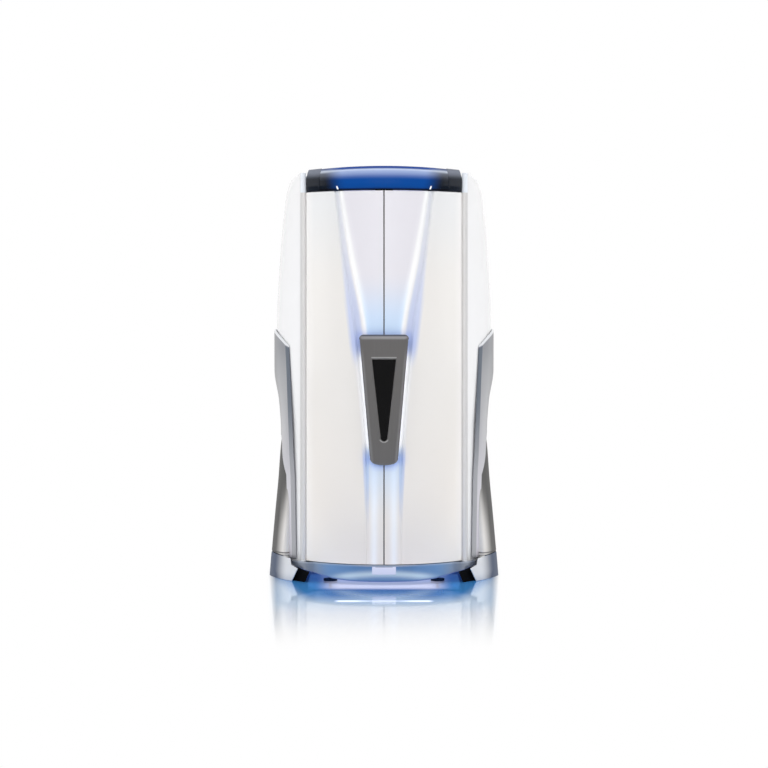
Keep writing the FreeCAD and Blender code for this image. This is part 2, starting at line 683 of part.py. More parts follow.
# ---------------------------------------------------------------- armour and legs
def wing_wire(z):
    """The armour's plan: round at the front and back, drawn in at the waist."""
    first, bend = WING_ANGLES
    last = 180.0 - first
    waist = Part.Arc(polar(WING_R, bend, z), Vector(DOOR_R + between(WING_WAIST, z), 0, z),
                     polar(WING_R, 180.0 - bend, z))
    return closed_wire([arc_on(WING_R, first, bend, z), waist,
                        arc_on(WING_R, 180.0 - bend, last, z),
                        arc_on(REFLECTOR_R, last, first, z)])


def wing_outline():
    """The armour as seen from the side: two legs that meet in a peak over an arch."""
    def side_point(place, hand):
        return Vector(0, hand * (COVER_CORNER_Y - place[0]), place[1])
    peak = Vector(0, 0, WING_PEAK)
    crown = Vector(0, 0, ARCH_CROWN)
    front = [side_point(place, -1) for place in (WING_FOOT, WING_KNEE, WING_SHOULDER)]
    rear = [side_point(place, 1) for place in (WING_SHOULDER, WING_KNEE, WING_FOOT)]
    arch = Part.Arc(side_point(ARCH_KNEE, 1), side_point(ARCH_HAUNCH, 1), crown)
    other = Part.Arc(crown, side_point(ARCH_HAUNCH, -1), side_point(ARCH_KNEE, -1))
    run = front + [peak] + rear + [side_point(ARCH_FOOT, 1), side_point(ARCH_KNEE, 1)]
    edges = [Part.makeLine(a, b) for a, b in zip(run, run[1:])]
    edges += [arch.toShape(), other.toShape(),
              Part.makeLine(side_point(ARCH_KNEE, -1), side_point(ARCH_FOOT, -1)),
              Part.makeLine(side_point(ARCH_FOOT, -1), front[0])]
    return Part.Face(Part.Wire(edges)).extrude(Vector(2.0 * WING_R, 0, 0))


def wing():
    """Silver armour that lies on a side cover."""
    block = Part.makeLoft([wing_wire(z) for z, proud in WING_WAIST], True, True)
    armour = block.common(wing_outline())
    armour = armour.cut(box(0, COVER_CORNER_X, -WING_R, WING_R, 0, BOOTH_HEIGHT))
    return armour.cut(cover_block(0.0))


def leg_cover(armour):
    """Flared cover between the armour's leg and the side, hollow behind."""
    profile = from_door_radius(LEG_PROUD)
    skin = Part.makeLoft([sector_wire(REFLECTOR_R, radius, LEG_FIRST, LEG_LAST, z)
                          for z, radius in profile], True, True)
    turn = degrees_of(LEG_WALL, DOOR_R)
    hollow = Part.makeLoft([sector_wire(REFLECTOR_R - 5.0, radius - LEG_WALL, LEG_FIRST + turn,
                                        LEG_LAST - turn, z + LEG_WALL)
                            for z, radius in profile[:-1]], True, True)
    shell = skin.cut(hollow).cut(cover_block(0.0)).cut(armour)
    return max(shell.Solids, key=lambda solid: solid.Volume)


# ---------------------------------------------------------------- top frame, ceiling and roof
def top_frame():
    """Channel ring over the cabin with arms for posts, hinges, canopy and door magnets."""
    pieces = [channel_ring(TOP_RING_Z)]
    canopy_reach = DOOR_R + CANOPY_PROUD[0][1] - CANOPY_WALL
    arms = [(phi, canopy_reach) for phi in CANOPY_ARM_ANGLES]
    arms += [(HINGE_PHI, HINGE_LINE_R - HINGE_TUBE_R), (POST_ANGLE, POST_R + 0.5 * POST)]
    arms += [(180.0 - POST_ANGLE, POST_R + 0.5 * POST)]
    for phi, tip in arms:
        arm = radial_bar(phi, RING_R + RING_WIDTH - WELD, tip, TOP_ARM_WIDTH, TOP_RING_Z,
                         TOP_RING_Z + TOP_ARM_HEIGHT)
        pieces += [arm, mirrored(arm)]
    pieces.append(radial_bar(0.0, RING_R + RING_WIDTH - WELD, -MAGNET_Y + MAGNET_SEAT,
                             2.0 * (MAGNET_X + MAGNET[0]), TOP_RING_Z,
                             TOP_RING_Z + TOP_ARM_HEIGHT))
    return fuse(pieces)


def posts():
    """Four square tubes between the base arms and the top arms."""
    tubes = []
    inner = POST_R - 0.5 * POST
    outer = POST_R + 0.5 * POST
    for phi in (POST_ANGLE, 180.0 - POST_ANGLE):
        tube = radial_bar(phi, inner, outer, POST, BASE_ARM_TOP, TOP_RING_Z)
        hollow = radial_bar(phi, inner + POST_WALL, outer - POST_WALL, POST - 2.0 * POST_WALL,
                            BASE_ARM_TOP, TOP_RING_Z)
        tube = tube.cut(hollow)
        tubes += [tube, mirrored(tube)]
    return Part.makeCompound(tubes)


def ceiling_panel():
    """Round ceiling with two fan openings."""
    panel = Part.makeCylinder(FLOOR_R, CEILING, UP * CEILING_Z)
    for y, radius in ((EXHAUST_Y, EXHAUST_R), (BREEZE_Y, BREEZE_R)):
        panel = panel.cut(Part.makeCylinder(radius, CEILING, Vector(0, y, CEILING_Z)))
    return panel


def roof_cover():
    """Roof deck inside the covers, with a rim that stands on the top ring."""
    rear_r = REAR_R - SKIN - ROOF_GAP
    rear_corner_y = REAR_AXIS_Y + math.sqrt(rear_r ** 2 - ROOF_SIDE ** 2)
    rear = Part.Arc(Vector(ROOF_SIDE, rear_corner_y, ROOF_Z),
                    Vector(0, REAR_AXIS_Y + rear_r, ROOF_Z),
                    Vector(-ROOF_SIDE, rear_corner_y, ROOF_Z))
    front = arc_on(ROOF_R, -DOOR_ANGLE, DOOR_ANGLE, ROOF_Z)
    corner = Vector(ROOF_SIDE, -COVER_CORNER_Y, ROOF_Z)
    right = Part.LineSegment(corner, Vector(ROOF_SIDE, rear_corner_y, ROOF_Z))
    left = Part.LineSegment(Vector(-ROOF_SIDE, rear_corner_y, ROOF_Z),
                            Vector(-ROOF_SIDE, -COVER_CORNER_Y, ROOF_Z))
    deck = Part.Face(closed_wire([front, right, rear, left])).extrude(UP * ROOF_PLATE)
    rim = ring(RING_R + RING_WIDTH - RING_WALL, RING_R + RING_WIDTH, TOP_RING_TOP, ROOF_Z)
    rim = rim.common(box(-ROOF_SIDE, ROOF_SIDE, -ROOF_R, ROOF_R, TOP_RING_TOP, ROOF_Z))
    roof = fuse([deck, rim])
    for side in (1, -1):
        place = Vector(side * HINGE.x, HINGE.y, ROOF_Z - 1.0)
        roof = roof.cut(Part.makeCylinder(HINGE_TUBE_R + 1.0, ROOF_PLATE + 2.0, place))
    return roof.cut(Part.makeCylinder(SPIGOT_R - SPIGOT_WALL, ROOF_PLATE,
                                      Vector(0, EXHAUST_Y, ROOF_Z)))


def exhaust_spigot():
    """Duct spigot on the roof."""
    seat = ROOF_Z + ROOF_PLATE
    centre = Vector(0, EXHAUST_Y, 0)
    flange = ring(SPIGOT_R - SPIGOT_WALL, SPIGOT_FLANGE_R, seat, seat + SPIGOT_FLANGE, centre)
    tube = ring(SPIGOT_R - SPIGOT_WALL, SPIGOT_R, seat, BOOTH_HEIGHT, centre)
    return fuse([flange, tube])


def fan_housing(y, radius):
    """Fan ring on the ceiling with a motor on three struts and the motor's shaft."""
    centre = Vector(0, y, 0)
    wall = ring(radius, radius + FAN_WALL, TOP_RING_Z, TOP_RING_Z + FAN_HEIGHT, centre)
    base = centre + UP * TOP_RING_Z
    pieces = [wall, Part.makeCylinder(FAN_HUB_R, FAN_MOTOR, base),
              Part.makeCylinder(FAN_SHAFT_R, FAN_HEIGHT - FAN_SHAFT_SHORT, base)]
    for number in range(FAN_STRUTS):
        strut = box(0.0, radius + 0.5 * FAN_WALL, -0.5 * FAN_STRUT, 0.5 * FAN_STRUT, 0.0,
                    FAN_STRUT)
        strut.rotate(Vector(0, 0, 0), UP, number * 360.0 / FAN_STRUTS + 90.0)
        strut.translate(base)
        pieces.append(strut)
    return fuse(pieces)


def impeller(y, radius):
    """Axial fan wheel: a bored hub with pitched blades."""
    bottom = TOP_RING_Z + FAN_MOTOR + FIT
    height = FAN_HEIGHT - FAN_MOTOR - FAN_SHAFT_SHORT - 2.0
    hub = Part.makeCylinder(FAN_HUB_R, height, UP * bottom)
    blades = []
    middle = bottom + 0.5 * height
    span = radius - FAN_TIP_GAP - FAN_HUB_R + 6.0
    for number in range(FAN_BLADES):
        blade = Part.makeBox(span, FAN_BLADE_CHORD, FAN_BLADE,
                             Vector(FAN_HUB_R - 6.0, -0.5 * FAN_BLADE_CHORD, -0.5 * FAN_BLADE))
        blade.rotate(Vector(0, 0, 0), Vector(1, 0, 0), FAN_BLADE_PITCH)
        blade.rotate(Vector(0, 0, 0), UP, number * 360.0 / FAN_BLADES)
        blade.translate(UP * middle)
        blades.append(blade)
    wheel = fuse([hub] + blades)
    wheel = wheel.common(Part.makeCylinder(radius - FAN_TIP_GAP, height, UP * bottom))
    wheel = wheel.cut(Part.makeCylinder(FAN_SHAFT_R + PIN_FIT, height, UP * bottom))
    wheel.translate(Vector(0, y, 0))
    return wheel


# ---------------------------------------------------------------- canopy
def canopy_block(first, last):
    """The canopy's bulging wall between two angles, cut to its crowned top edge."""
    outer = Part.makeLoft([sector_wire(radius - CANOPY_WALL, radius, first, last,
                                       CEILING_Z + rise)
                           for rise, radius in from_door_radius(CANOPY_PROUD)], True, True)
    half = DOOR_R * math.sin(math.radians(DOOR_ANGLE))
    near = -1.2 * DOOR_R
    above = BOOTH_HEIGHT + 50.0
    crown = Part.Arc(Vector(-half, near, CANOPY_END), Vector(0, near, CANOPY_CROWN),
                     Vector(half, near, CANOPY_END))
    edges = [crown.toShape(),
             Part.makeLine(Vector(half, near, CANOPY_END), Vector(half + 50.0, near, above)),
             Part.makeLine(Vector(half + 50.0, near, above), Vector(-half - 50.0, near, above)),
             Part.makeLine(Vector(-half - 50.0, near, above), Vector(-half, near, CANOPY_END))]
    return outer.cut(Part.Face(Part.Wire(edges)).extrude(Vector(0, DOOR_R, 0)))


def canopy_visor():
    """Blue visor over the doors."""
    edge = CANOPY_CAP_ANGLE - degrees_of(0.5 * CANOPY_JOINT, DOOR_R)
    return canopy_block(-edge, edge)


def canopy_cap():
    """Dark end cap of the canopy, with a wall that closes its outer end."""
    edge = CANOPY_CAP_ANGLE + degrees_of(0.5 * CANOPY_JOINT, DOOR_R)
    last = DOOR_ANGLE - degrees_of(CANOPY_JOINT, DOOR_R)
    end_wall = sector(DOOR_R - CANOPY_WALL_DEPTH, DOOR_R - FIT,
                      last - degrees_of(CANOPY_WALL, DOOR_R), last, CEILING_Z,
                      CEILING_Z + CANOPY_PROUD[2][0])
    return fuse([canopy_block(edge, last), end_wall])


def canopy_light():
    """Light bar behind the visor, on the canopy arms."""
    bottom = TOP_RING_Z + TOP_ARM_HEIGHT
    back, front = LIGHT_BAR_DEPTH
    return sector(DOOR_R - back, DOOR_R - front, -LIGHT_BAR_ANGLE, LIGHT_BAR_ANGLE, bottom,
                  bottom + LIGHT_BAR_HEIGHT)


# ---------------------------------------------------------------- hinges
def hinge_bearings():
    """Fixed bearings of both doors: a washer with a pin below, a head with a pin above."""
    washer = Part.makeCylinder(HINGE_TUBE_R, DOOR_BOTTOM - FIT - SILL, HINGE + UP * SILL)
    low_pin = Part.makeCylinder(HINGE_PIN_R, DOOR_BOTTOM + HINGE_PIN_LENGTH - SILL,
                                HINGE + UP * SILL)
    lower = fuse([washer, low_pin])
    head = Part.makeCylinder(HINGE_TUBE_R, HINGE_HEAD, HINGE + UP * (DOOR_TOP + FIT))
    top_pin = Part.makeCylinder(HINGE_PIN_R, HINGE_PIN_LENGTH + 10.0,
                                HINGE + UP * (DOOR_TOP - HINGE_PIN_LENGTH))
    upper = fuse([head, top_pin])
    return Part.makeCompound([lower, upper, mirrored(lower), mirrored(upper)])


def door_magnets():
    """Magnetic catches over and under the doors' meeting edges."""
    length, depth = MAGNET
    low = box(MAGNET_X, MAGNET_X + length, MAGNET_Y, MAGNET_Y + depth, SILL,
              DOOR_BOTTOM - 0.5)
    high = box(MAGNET_X, MAGNET_X + length, MAGNET_Y, MAGNET_Y + depth, DOOR_TOP + 0.5,
               TOP_RING_Z)
    return Part.makeCompound([low, high, mirrored(low), mirrored(high)])


# ---------------------------------------------------------------- doors
def groove_at(height):
    """Groove sizes at a height above the door's lower edge."""
    stations = ((0.0, GROOVE_FOOT), (GROOVE_LOW_Z, GROOVE_LOW), (GROOVE_TOP_Z, GROOVE_TOP),
                (DOOR_HEIGHT, GROOVE_HEAD))
    for (low, start), (high, end) in zip(stations, stations[1:]):
        if height <= high:
            share = (height - low) / (high - low)
            return [a + (b - a) * share for a, b in zip(start, end)]
    return GROOVE_HEAD


def door_shell_wire(height):
    """The door shell's plan section, with its groove."""
    z = DOOR_BOTTOM + height
    edge, floor_out, floor_in, ridge, depth = groove_at(height)

    def on(x, radius):
        return polar(radius, phi_at_x(x, radius), z)

    def run(skin):
        radius = DOOR_R - skin
        deep = radius - depth
        edge_phi = phi_at_x(edge, radius)
        ridge_phi = phi_at_x(ridge, radius)
        seam_phi = phi_at_x(SEAM_HALF, radius)
        outer = arc_on(radius, DOOR_ANGLE, edge_phi, z)
        slope = Part.LineSegment(on(edge, radius), on(floor_out, deep))
        floor = Part.LineSegment(on(floor_out, deep), on(floor_in, deep))
        chamfer = Part.LineSegment(on(floor_in, deep), on(ridge, radius))
        inner = arc_on(radius, ridge_phi, seam_phi, z)
        return [outer, slope, floor, chamfer, inner]

    front = [curve.toShape() for curve in run(0.0)]
    back = [curve.toShape() for curve in run(SKIN)]
    seam = Part.makeLine(front[-1].lastVertex().Point, back[-1].lastVertex().Point)
    hinge_side = Part.makeLine(back[0].firstVertex().Point, front[0].firstVertex().Point)
    return Part.Wire(front + [seam] + back[::-1] + [hinge_side])


def door_shell():
    """Curved door skin with the pressed groove that flares towards the top."""
    rise = (DOOR_HEIGHT - GROOVE_TOP_Z) / GROOVE_STEPS
    heights = [0.0, GROOVE_LOW_Z, GROOVE_TOP_Z]
    heights += [GROOVE_TOP_Z + rise * (step + 1) for step in range(GROOVE_STEPS)]
    return Part.makeLoft([door_shell_wire(height) for height in heights], True, True)


def lamp_rails(first, last):
    """Holder rails above and below the lamps."""
    top = LAMP_BOTTOM + LAMP_LENGTH
    return [sector(LAMP_RAIL_R, REFLECTOR_R + 1.0, first, last, LAMP_BOTTOM - LAMP_RAIL,
                   LAMP_BOTTOM),
            sector(LAMP_RAIL_R, REFLECTOR_R + 1.0, first, last, top, top + LAMP_RAIL)]


def lamp_row(first, last, count):
    """A row of equal lamps between two angles."""
    step = (last - first) / (count - 1)
    return [Part.makeCylinder(LAMP_R, LAMP_LENGTH,
                              polar(LAMP_CIRCLE, first + step * number, LAMP_BOTTOM))
            for number in range(count)]


def door_frame():
    """Door frame: end plates, stiles, reflector, lamp rails and the hinge tube on its web."""
    inner = SHIELD_R - SHIELD
    deepest = max(GROOVE_HEAD[-1], GROOVE_FOOT[-1])
    plate_r = DOOR_R - SKIN - deepest
    seam_phi = phi_at_x(SEAM_HALF, REFLECTOR_R) + 0.1
    stile = degrees_of(PLATE, REFLECTOR_R)
    plates = [sector(inner, plate_r, seam_phi, DOOR_ANGLE, DOOR_BOTTOM, DOOR_BOTTOM + PLATE),
              sector(inner, plate_r, seam_phi, DOOR_ANGLE, DOOR_TOP - PLATE, DOOR_TOP)]
    meeting = box(SEAM_HALF, SEAM_HALF + PLATE, -SHELL_INNER_R + 0.1, -SHIELD_R - 1.0,
                  DOOR_BOTTOM, DOOR_TOP)
    hinge_stile = sector(SHIELD_R + 1.0, SHELL_INNER_R, DOOR_ANGLE - stile, DOOR_ANGLE,
                         DOOR_BOTTOM, DOOR_TOP)
    reflector = sector(REFLECTOR_R, REFLECTOR_R + REFLECTOR, seam_phi, DOOR_ANGLE, DOOR_BOTTOM,
                       DOOR_TOP)
    tube = Part.makeCylinder(HINGE_TUBE_R, DOOR_HEIGHT, HINGE + UP * DOOR_BOTTOM)
    web = polygon_prism([polar(SHELL_INNER_R - 2.0, DOOR_ANGLE - 0.5 * stile, DOOR_BOTTOM),
                         polar(SHELL_INNER_R - 36.0, DOOR_ANGLE - 0.5 * stile, DOOR_BOTTOM),
                         HINGE + Vector(-6.0, 12.0, DOOR_BOTTOM),
                         HINGE + Vector(-14.0, -4.0, DOOR_BOTTOM)], UP * DOOR_HEIGHT)
    frame = fuse(plates + [meeting, hinge_stile, reflector, web, tube]
                 + lamp_rails(seam_phi, DOOR_ANGLE - 0.5 * stile))
    depth = HINGE_PIN_LENGTH + 2.0
    for z in (DOOR_BOTTOM, DOOR_TOP - depth):
        frame = frame.cut(Part.makeCylinder(HINGE_PIN_R + PIN_FIT, depth, HINGE + UP * z))
    return frame


def door_shield():
    """Clear shield between the door's end plates."""
    return sector(SHIELD_R - SHIELD, SHIELD_R, phi_at_x(SEAM_HALF, SHIELD_R) + 0.1,
                  DOOR_ANGLE, DOOR_BOTTOM + PLATE, DOOR_TOP - PLATE)


def door_seal():
    """Rubber strip on the door's meeting stile."""
    return box(FIT + 0.1, SEAM_HALF, -SHELL_INNER_R + 8.0, -SHELL_INNER_R + 22.0, DOOR_BOTTOM,
               DOOR_TOP)


def handle_outline(shrink):
    """The handle plate's outline: straight sides and a rounded foot."""
    near = -DOOR_R * 1.3
    half_top = 0.5 * HANDLE_TOP_WIDTH - shrink
    half_foot = 0.5 * HANDLE_FOOT_WIDTH - shrink
    foot = Part.Arc(Vector(-half_foot, near, HANDLE_CORNER_Z),
                    Vector(0, near, HANDLE_FOOT_Z + shrink),
                    Vector(half_foot, near, HANDLE_CORNER_Z))
    top = Part.LineSegment(Vector(half_top, near, HANDLE_TOP - shrink),
                           Vector(-half_top, near, HANDLE_TOP - shrink))
    return Part.Face(closed_wire([foot, top])).extrude(Vector(0, DOOR_R, 0))


def inset_outline(shrink):
    """The tapering recess in the handle plate."""
    near = -DOOR_R * 1.3
    half_top = 0.5 * INSET_TOP_WIDTH - shrink
    half_foot = 0.5 * INSET_FOOT_WIDTH - shrink
    foot = Part.Arc(Vector(-half_foot, near, INSET_FOOT + half_foot),
                    Vector(0, near, INSET_FOOT + shrink),
                    Vector(half_foot, near, INSET_FOOT + half_foot))
    top = Part.LineSegment(Vector(half_top, near, INSET_TOP - shrink),
                           Vector(-half_top, near, INSET_TOP - shrink))
    return Part.Face(closed_wire([foot, top])).extrude(Vector(0, DOOR_R, 0))


def handle_plate():
    """Pull plate over the seam, on a spine that stands on the right door."""
    inner = DOOR_R + HANDLE_GAP
    outer = inner + HANDLE_PLATE
    prism = handle_outline(0.0)
    corners = [edge for edge in prism.Edges
               if edge.BoundBox.YLength > 1.0 and edge.BoundBox.ZMin > HANDLE_TOP - 1.0
               and edge.BoundBox.XLength < 1.0]
    prism = prism.makeFillet(HANDLE_CORNER_R, corners)
    plate = sector(inner, outer, -20.0, 20.0, 0.0, BOOTH_HEIGHT).common(prism)
    spine = box(SPINE_X, SPINE_X + SPINE_WIDTH, -inner - 1.0, -DOOR_R + 5.0, SPINE_BOTTOM,
                SPINE_TOP)
    spine = spine.cut(Part.makeCylinder(DOOR_R, BOOTH_HEIGHT))
    recess = inset_outline(0.0).common(sector(outer - INSET_DEPTH, outer + 5.0, -10.0, 10.0, 0.0,
                                              BOOTH_HEIGHT))
    return fuse([plate, spine]).cut(recess)


def handle_inset():
    """Black gloss panel in the plate's recess."""
    outer = DOOR_R + HANDLE_GAP + HANDLE_PLATE
    return inset_outline(INSET_FIT).common(sector(outer - INSET_DEPTH, outer - 1.0, -10.0, 10.0,
                                                  0.0, BOOTH_HEIGHT))


# ---------------------------------------------------------------- cabin interior
TRAY_FIRST = DOOR_ANGLE + JAMB_TURNS[0]
TRAY_LAST = 180.0 - phi_at_x(COLUMN_HALF + TRAY_GAP, SHIELD_R)


def lamp_tray():
    """Fixed lamp tray: reflector, jamb wall at the door, end wall at the column, lamp rails."""
    inner_r = SHIELD_R - SHIELD
    outer_r = DOOR_R - JAMB_GAP
    outer_turn = DOOR_ANGLE + JAMB_TURNS[1]
    start = polar(inner_r, TRAY_FIRST)
    end = polar(outer_r, outer_turn)
    across = UP.cross(end - start).normalize() * PLATE
    corners = [start, end, end + across, start + across]
    jamb = polygon_prism([corner + UP * PLATE_TOP for corner in corners],
                         UP * (CEILING_Z - PLATE_TOP))
    share = (REFLECTOR_R - inner_r) / (outer_r - inner_r)
    first = TRAY_FIRST + (outer_turn - TRAY_FIRST) * share + 0.3
    reflector = sector(REFLECTOR_R, REFLECTOR_R + REFLECTOR, first, TRAY_LAST, PLATE_TOP,
                       CEILING_Z)
    turn = degrees_of(PLATE, REFLECTOR_R)
    end_wall = sector(SHIELD_R + 1.0, REFLECTOR_R + REFLECTOR, TRAY_LAST - turn, TRAY_LAST,
                      PLATE_TOP, CEILING_Z)
    return fuse([jamb, reflector, end_wall] + lamp_rails(first + 0.2, TRAY_LAST - 0.5 * turn))


def side_shield():
    """Fixed clear shield from the jamb to the column."""
    gap = degrees_of(2.0 * PLATE, SHIELD_R)
    return sector(SHIELD_R - SHIELD, SHIELD_R, TRAY_FIRST + gap, TRAY_LAST, PLATE_TOP,
                  CEILING_Z)


def button_places():
    """The four buttons on the column, by name."""
    half = 0.5 * BUTTON_PITCH
    return {"button_start": (-half, BUTTON_Z), "button_stop": (half, BUTTON_Z),
            "button_fan": (-half, BUTTON_Z - BUTTON_PITCH),
            "button_light": (half, BUTTON_Z - BUTTON_PITCH)}


def control_column():
    """Hollow column on the cabin's rear wall with holes for the buttons."""
    outer = box(-COLUMN_HALF, COLUMN_HALF, COLUMN_FRONT, COLUMN_BACK, PLATE_TOP, CEILING_Z)
    upright = [edge for edge in outer.Edges
               if edge.BoundBox.ZLength > 1.0 and edge.BoundBox.YMax < COLUMN_FRONT + 1.0]
    outer = outer.makeFillet(4.0 * SKIN, upright)
    inner = box(-COLUMN_HALF + SKIN, COLUMN_HALF - SKIN, COLUMN_FRONT + SKIN, COLUMN_BACK - SKIN,
                PLATE_TOP, CEILING_Z)
    inner_upright = [edge for edge in inner.Edges
                     if edge.BoundBox.ZLength > 1.0 and
                     edge.BoundBox.YMax < COLUMN_FRONT + SKIN + 1.0]
    column = outer.cut(inner.makeFillet(3.0 * SKIN, inner_upright))
    for x, z in button_places().values():
        column = column.cut(Part.makeCylinder(BUTTON_R + FIT, 2.0 * SKIN,
                                              Vector(x, COLUMN_FRONT - 1.0, z),
                                              Vector(0, 1, 0)))
    return column


def display():
    """Timer display on the column's front."""
    half = 0.5 * DISPLAY_WIDTH
    top = DISPLAY_BOTTOM + DISPLAY_HEIGHT
    body = box(-half, half, COLUMN_FRONT - DISPLAY_DEPTH, COLUMN_FRONT, DISPLAY_BOTTOM, top)
    screen = box(-half + DISPLAY_FRAME, half - DISPLAY_FRAME, COLUMN_FRONT - DISPLAY_DEPTH,
                 COLUMN_FRONT - DISPLAY_DEPTH + 1.5, DISPLAY_BOTTOM + DISPLAY_FRAME,
                 top - DISPLAY_FRAME)
    return body.cut(screen)


def button(x, z):
    """Push button with a flange behind the column's front wall."""
    along = Vector(0, 1, 0)
    cap = Part.makeCylinder(BUTTON_R, BUTTON_DEPTH, Vector(x, COLUMN_FRONT - BUTTON_PROUD, z),
                            along)
    flange = Part.makeCylinder(BUTTON_FLANGE_R, BUTTON_FLANGE,
                               Vector(x, COLUMN_FRONT + SKIN + FIT, z), along)
    return fuse([cap, flange])


def hand_grip():
    """Mitred loop of tube under the ceiling: two legs and a bar."""
    along = Vector(1, 0, 0)
    start = Vector(GRIP_X - GRIP_HALF, GRIP_Y, CEILING_Z - GRIP_DROP)
    bar = Part.makeCylinder(GRIP_R, 2.0 * GRIP_HALF, start, along)
    parts = [bar]
    for end in (start, start + along * (2.0 * GRIP_HALF)):
        parts.append(Part.makeCylinder(GRIP_R, GRIP_DROP, end))
        parts.append(Part.makeSphere(GRIP_R, end))
    return fuse(parts)


def ballasts():
    """Lamp ballasts on the back of the reflectors."""
    width, depth, height = BALLAST
    back = REFLECTOR_R + REFLECTOR
    units = []
    for phi in BALLAST_ANGLES:
        for z in BALLAST_ROWS:
            unit = radial_bar(phi, back - 3.0, back + depth, width, z, z + height)
            unit = unit.cut(Part.makeCylinder(back, BOOTH_HEIGHT))
            units += [unit, mirrored(unit)]
    return Part.makeCompound(units)


def control_box():
    """Switchgear box on the column's back, behind the service panel."""
    width, depth, height = CONTROL_BOX
    return box(-0.5 * width, 0.5 * width, COLUMN_BACK, COLUMN_BACK + depth, CONTROL_BOX_Z,
               CONTROL_BOX_Z + height)


# ---------------------------------------------------------------- the booth
def build_nodes():
    """Every node of the booth by name."""
    right_cover = cover_block(0.0).cut(cover_block(SKIN))
    armour = wing()
    leg = leg_cover(armour)
    legs = Part.makeCompound([leg, front_to_back(leg)])
    foot = foot_shell()
    feet = Part.makeCompound([foot, front_to_back(foot)])
    tray = lamp_tray()
    shield = side_shield()
    cap = canopy_cap()
    grip = hand_grip()
    side_row = lamp_row(SIDE_LAMP_FIRST, SIDE_LAMP_LAST, SIDE_LAMPS)
    door_row = Part.makeCompound(lamp_row(DOOR_LAMP_FIRST, DOOR_LAMP_LAST, DOOR_LAMPS))
    shell = door_shell()
    frame = door_frame()
    door_glass = door_shield()
    seal = door_seal()
    nodes = {
        "base_frame": base_frame(),
        "levelling_feet": levelling_feet(),
        "floor_plate": floor_plate(),
        "floor_mat": floor_mat(),
        "base_skirt": base_skirt(),
        "threshold_lens": threshold_lens(),
        "foot_blocks": foot_blocks(),
        "feet_right": feet,
        "feet_left": mirrored(feet),
        "leg_covers_right": legs,
        "leg_covers_left": mirrored(legs),
        "wing_right": armour,
        "wing_left": mirrored(armour),
        "side_cover_right": right_cover,
        "side_cover_left": mirrored(right_cover),
        "rear_cover": rear_cover(),
        "service_panel": service_panel(),
        "panel_screws": panel_screws(),
        "inlet_gland": inlet_gland(),
        "posts": posts(),
        "top_frame": top_frame(),
        "ceiling_panel": ceiling_panel(),
        "roof_cover": roof_cover(),
        "exhaust_spigot": exhaust_spigot(),
        "exhaust_fan_housing": fan_housing(EXHAUST_Y, EXHAUST_R),
        "exhaust_impeller": impeller(EXHAUST_Y, EXHAUST_R),
        "breeze_fan_housing": fan_housing(BREEZE_Y, BREEZE_R),
        "breeze_impeller": impeller(BREEZE_Y, BREEZE_R),
        "canopy_visor": canopy_visor(),
        "canopy_cap_right": cap,
        "canopy_cap_left": mirrored(cap),
        "canopy_light": canopy_light(),
        "hinge_bearings": hinge_bearings(),
        "door_magnets": door_magnets(),
        "lamp_tray_right": tray,
        "lamp_tray_left": mirrored(tray),
        "side_lamps": Part.makeCompound(side_row + [mirrored(lamp) for lamp in side_row]),
        "side_shield_right": shield,
        "side_shield_left": mirrored(shield),
        "control_column": control_column(),
        "display": display(),
        "hand_grips": Part.makeCompound([grip, mirrored(grip)]),
        "ballasts": ballasts(),
        "control_box": control_box(),
        "door_shell_right": shell,
        "door_shell_left": mirrored(shell),
        "door_frame_right": frame,
        "door_frame_left": mirrored(frame),
        "door_lamps_right": door_row,
        "door_lamps_left": mirrored(door_row),
        "door_shield_right": door_glass,
        "door_shield_left": mirrored(door_glass),
        "door_seal_right": seal,
        "door_seal_left": mirrored(seal),
        "handle_plate": handle_plate(),
        "handle_inset": handle_inset(),
    }
    for name, (x, z) in button_places().items():
        nodes[name] = button(x, z)
    return nodes


os.makedirs("parts", exist_ok=True)
for node_name, node_shape in build_nodes().items():
    node_shape.exportStep(os.path.join("parts", node_name + ".step"))
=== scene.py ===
"""Looks of a vertical tanning booth: curved doors, covers, armour, canopy, pull plate, cabin and stage.

Metres. +Z is up, the doors face -Y. An angle phi is measured from the front centre line (-Y)
towards +X, about the booth's vertical axis. A colour written as a tuple of three numbers from
0 to 255 is a screen colour; one in square brackets is linear light.
"""

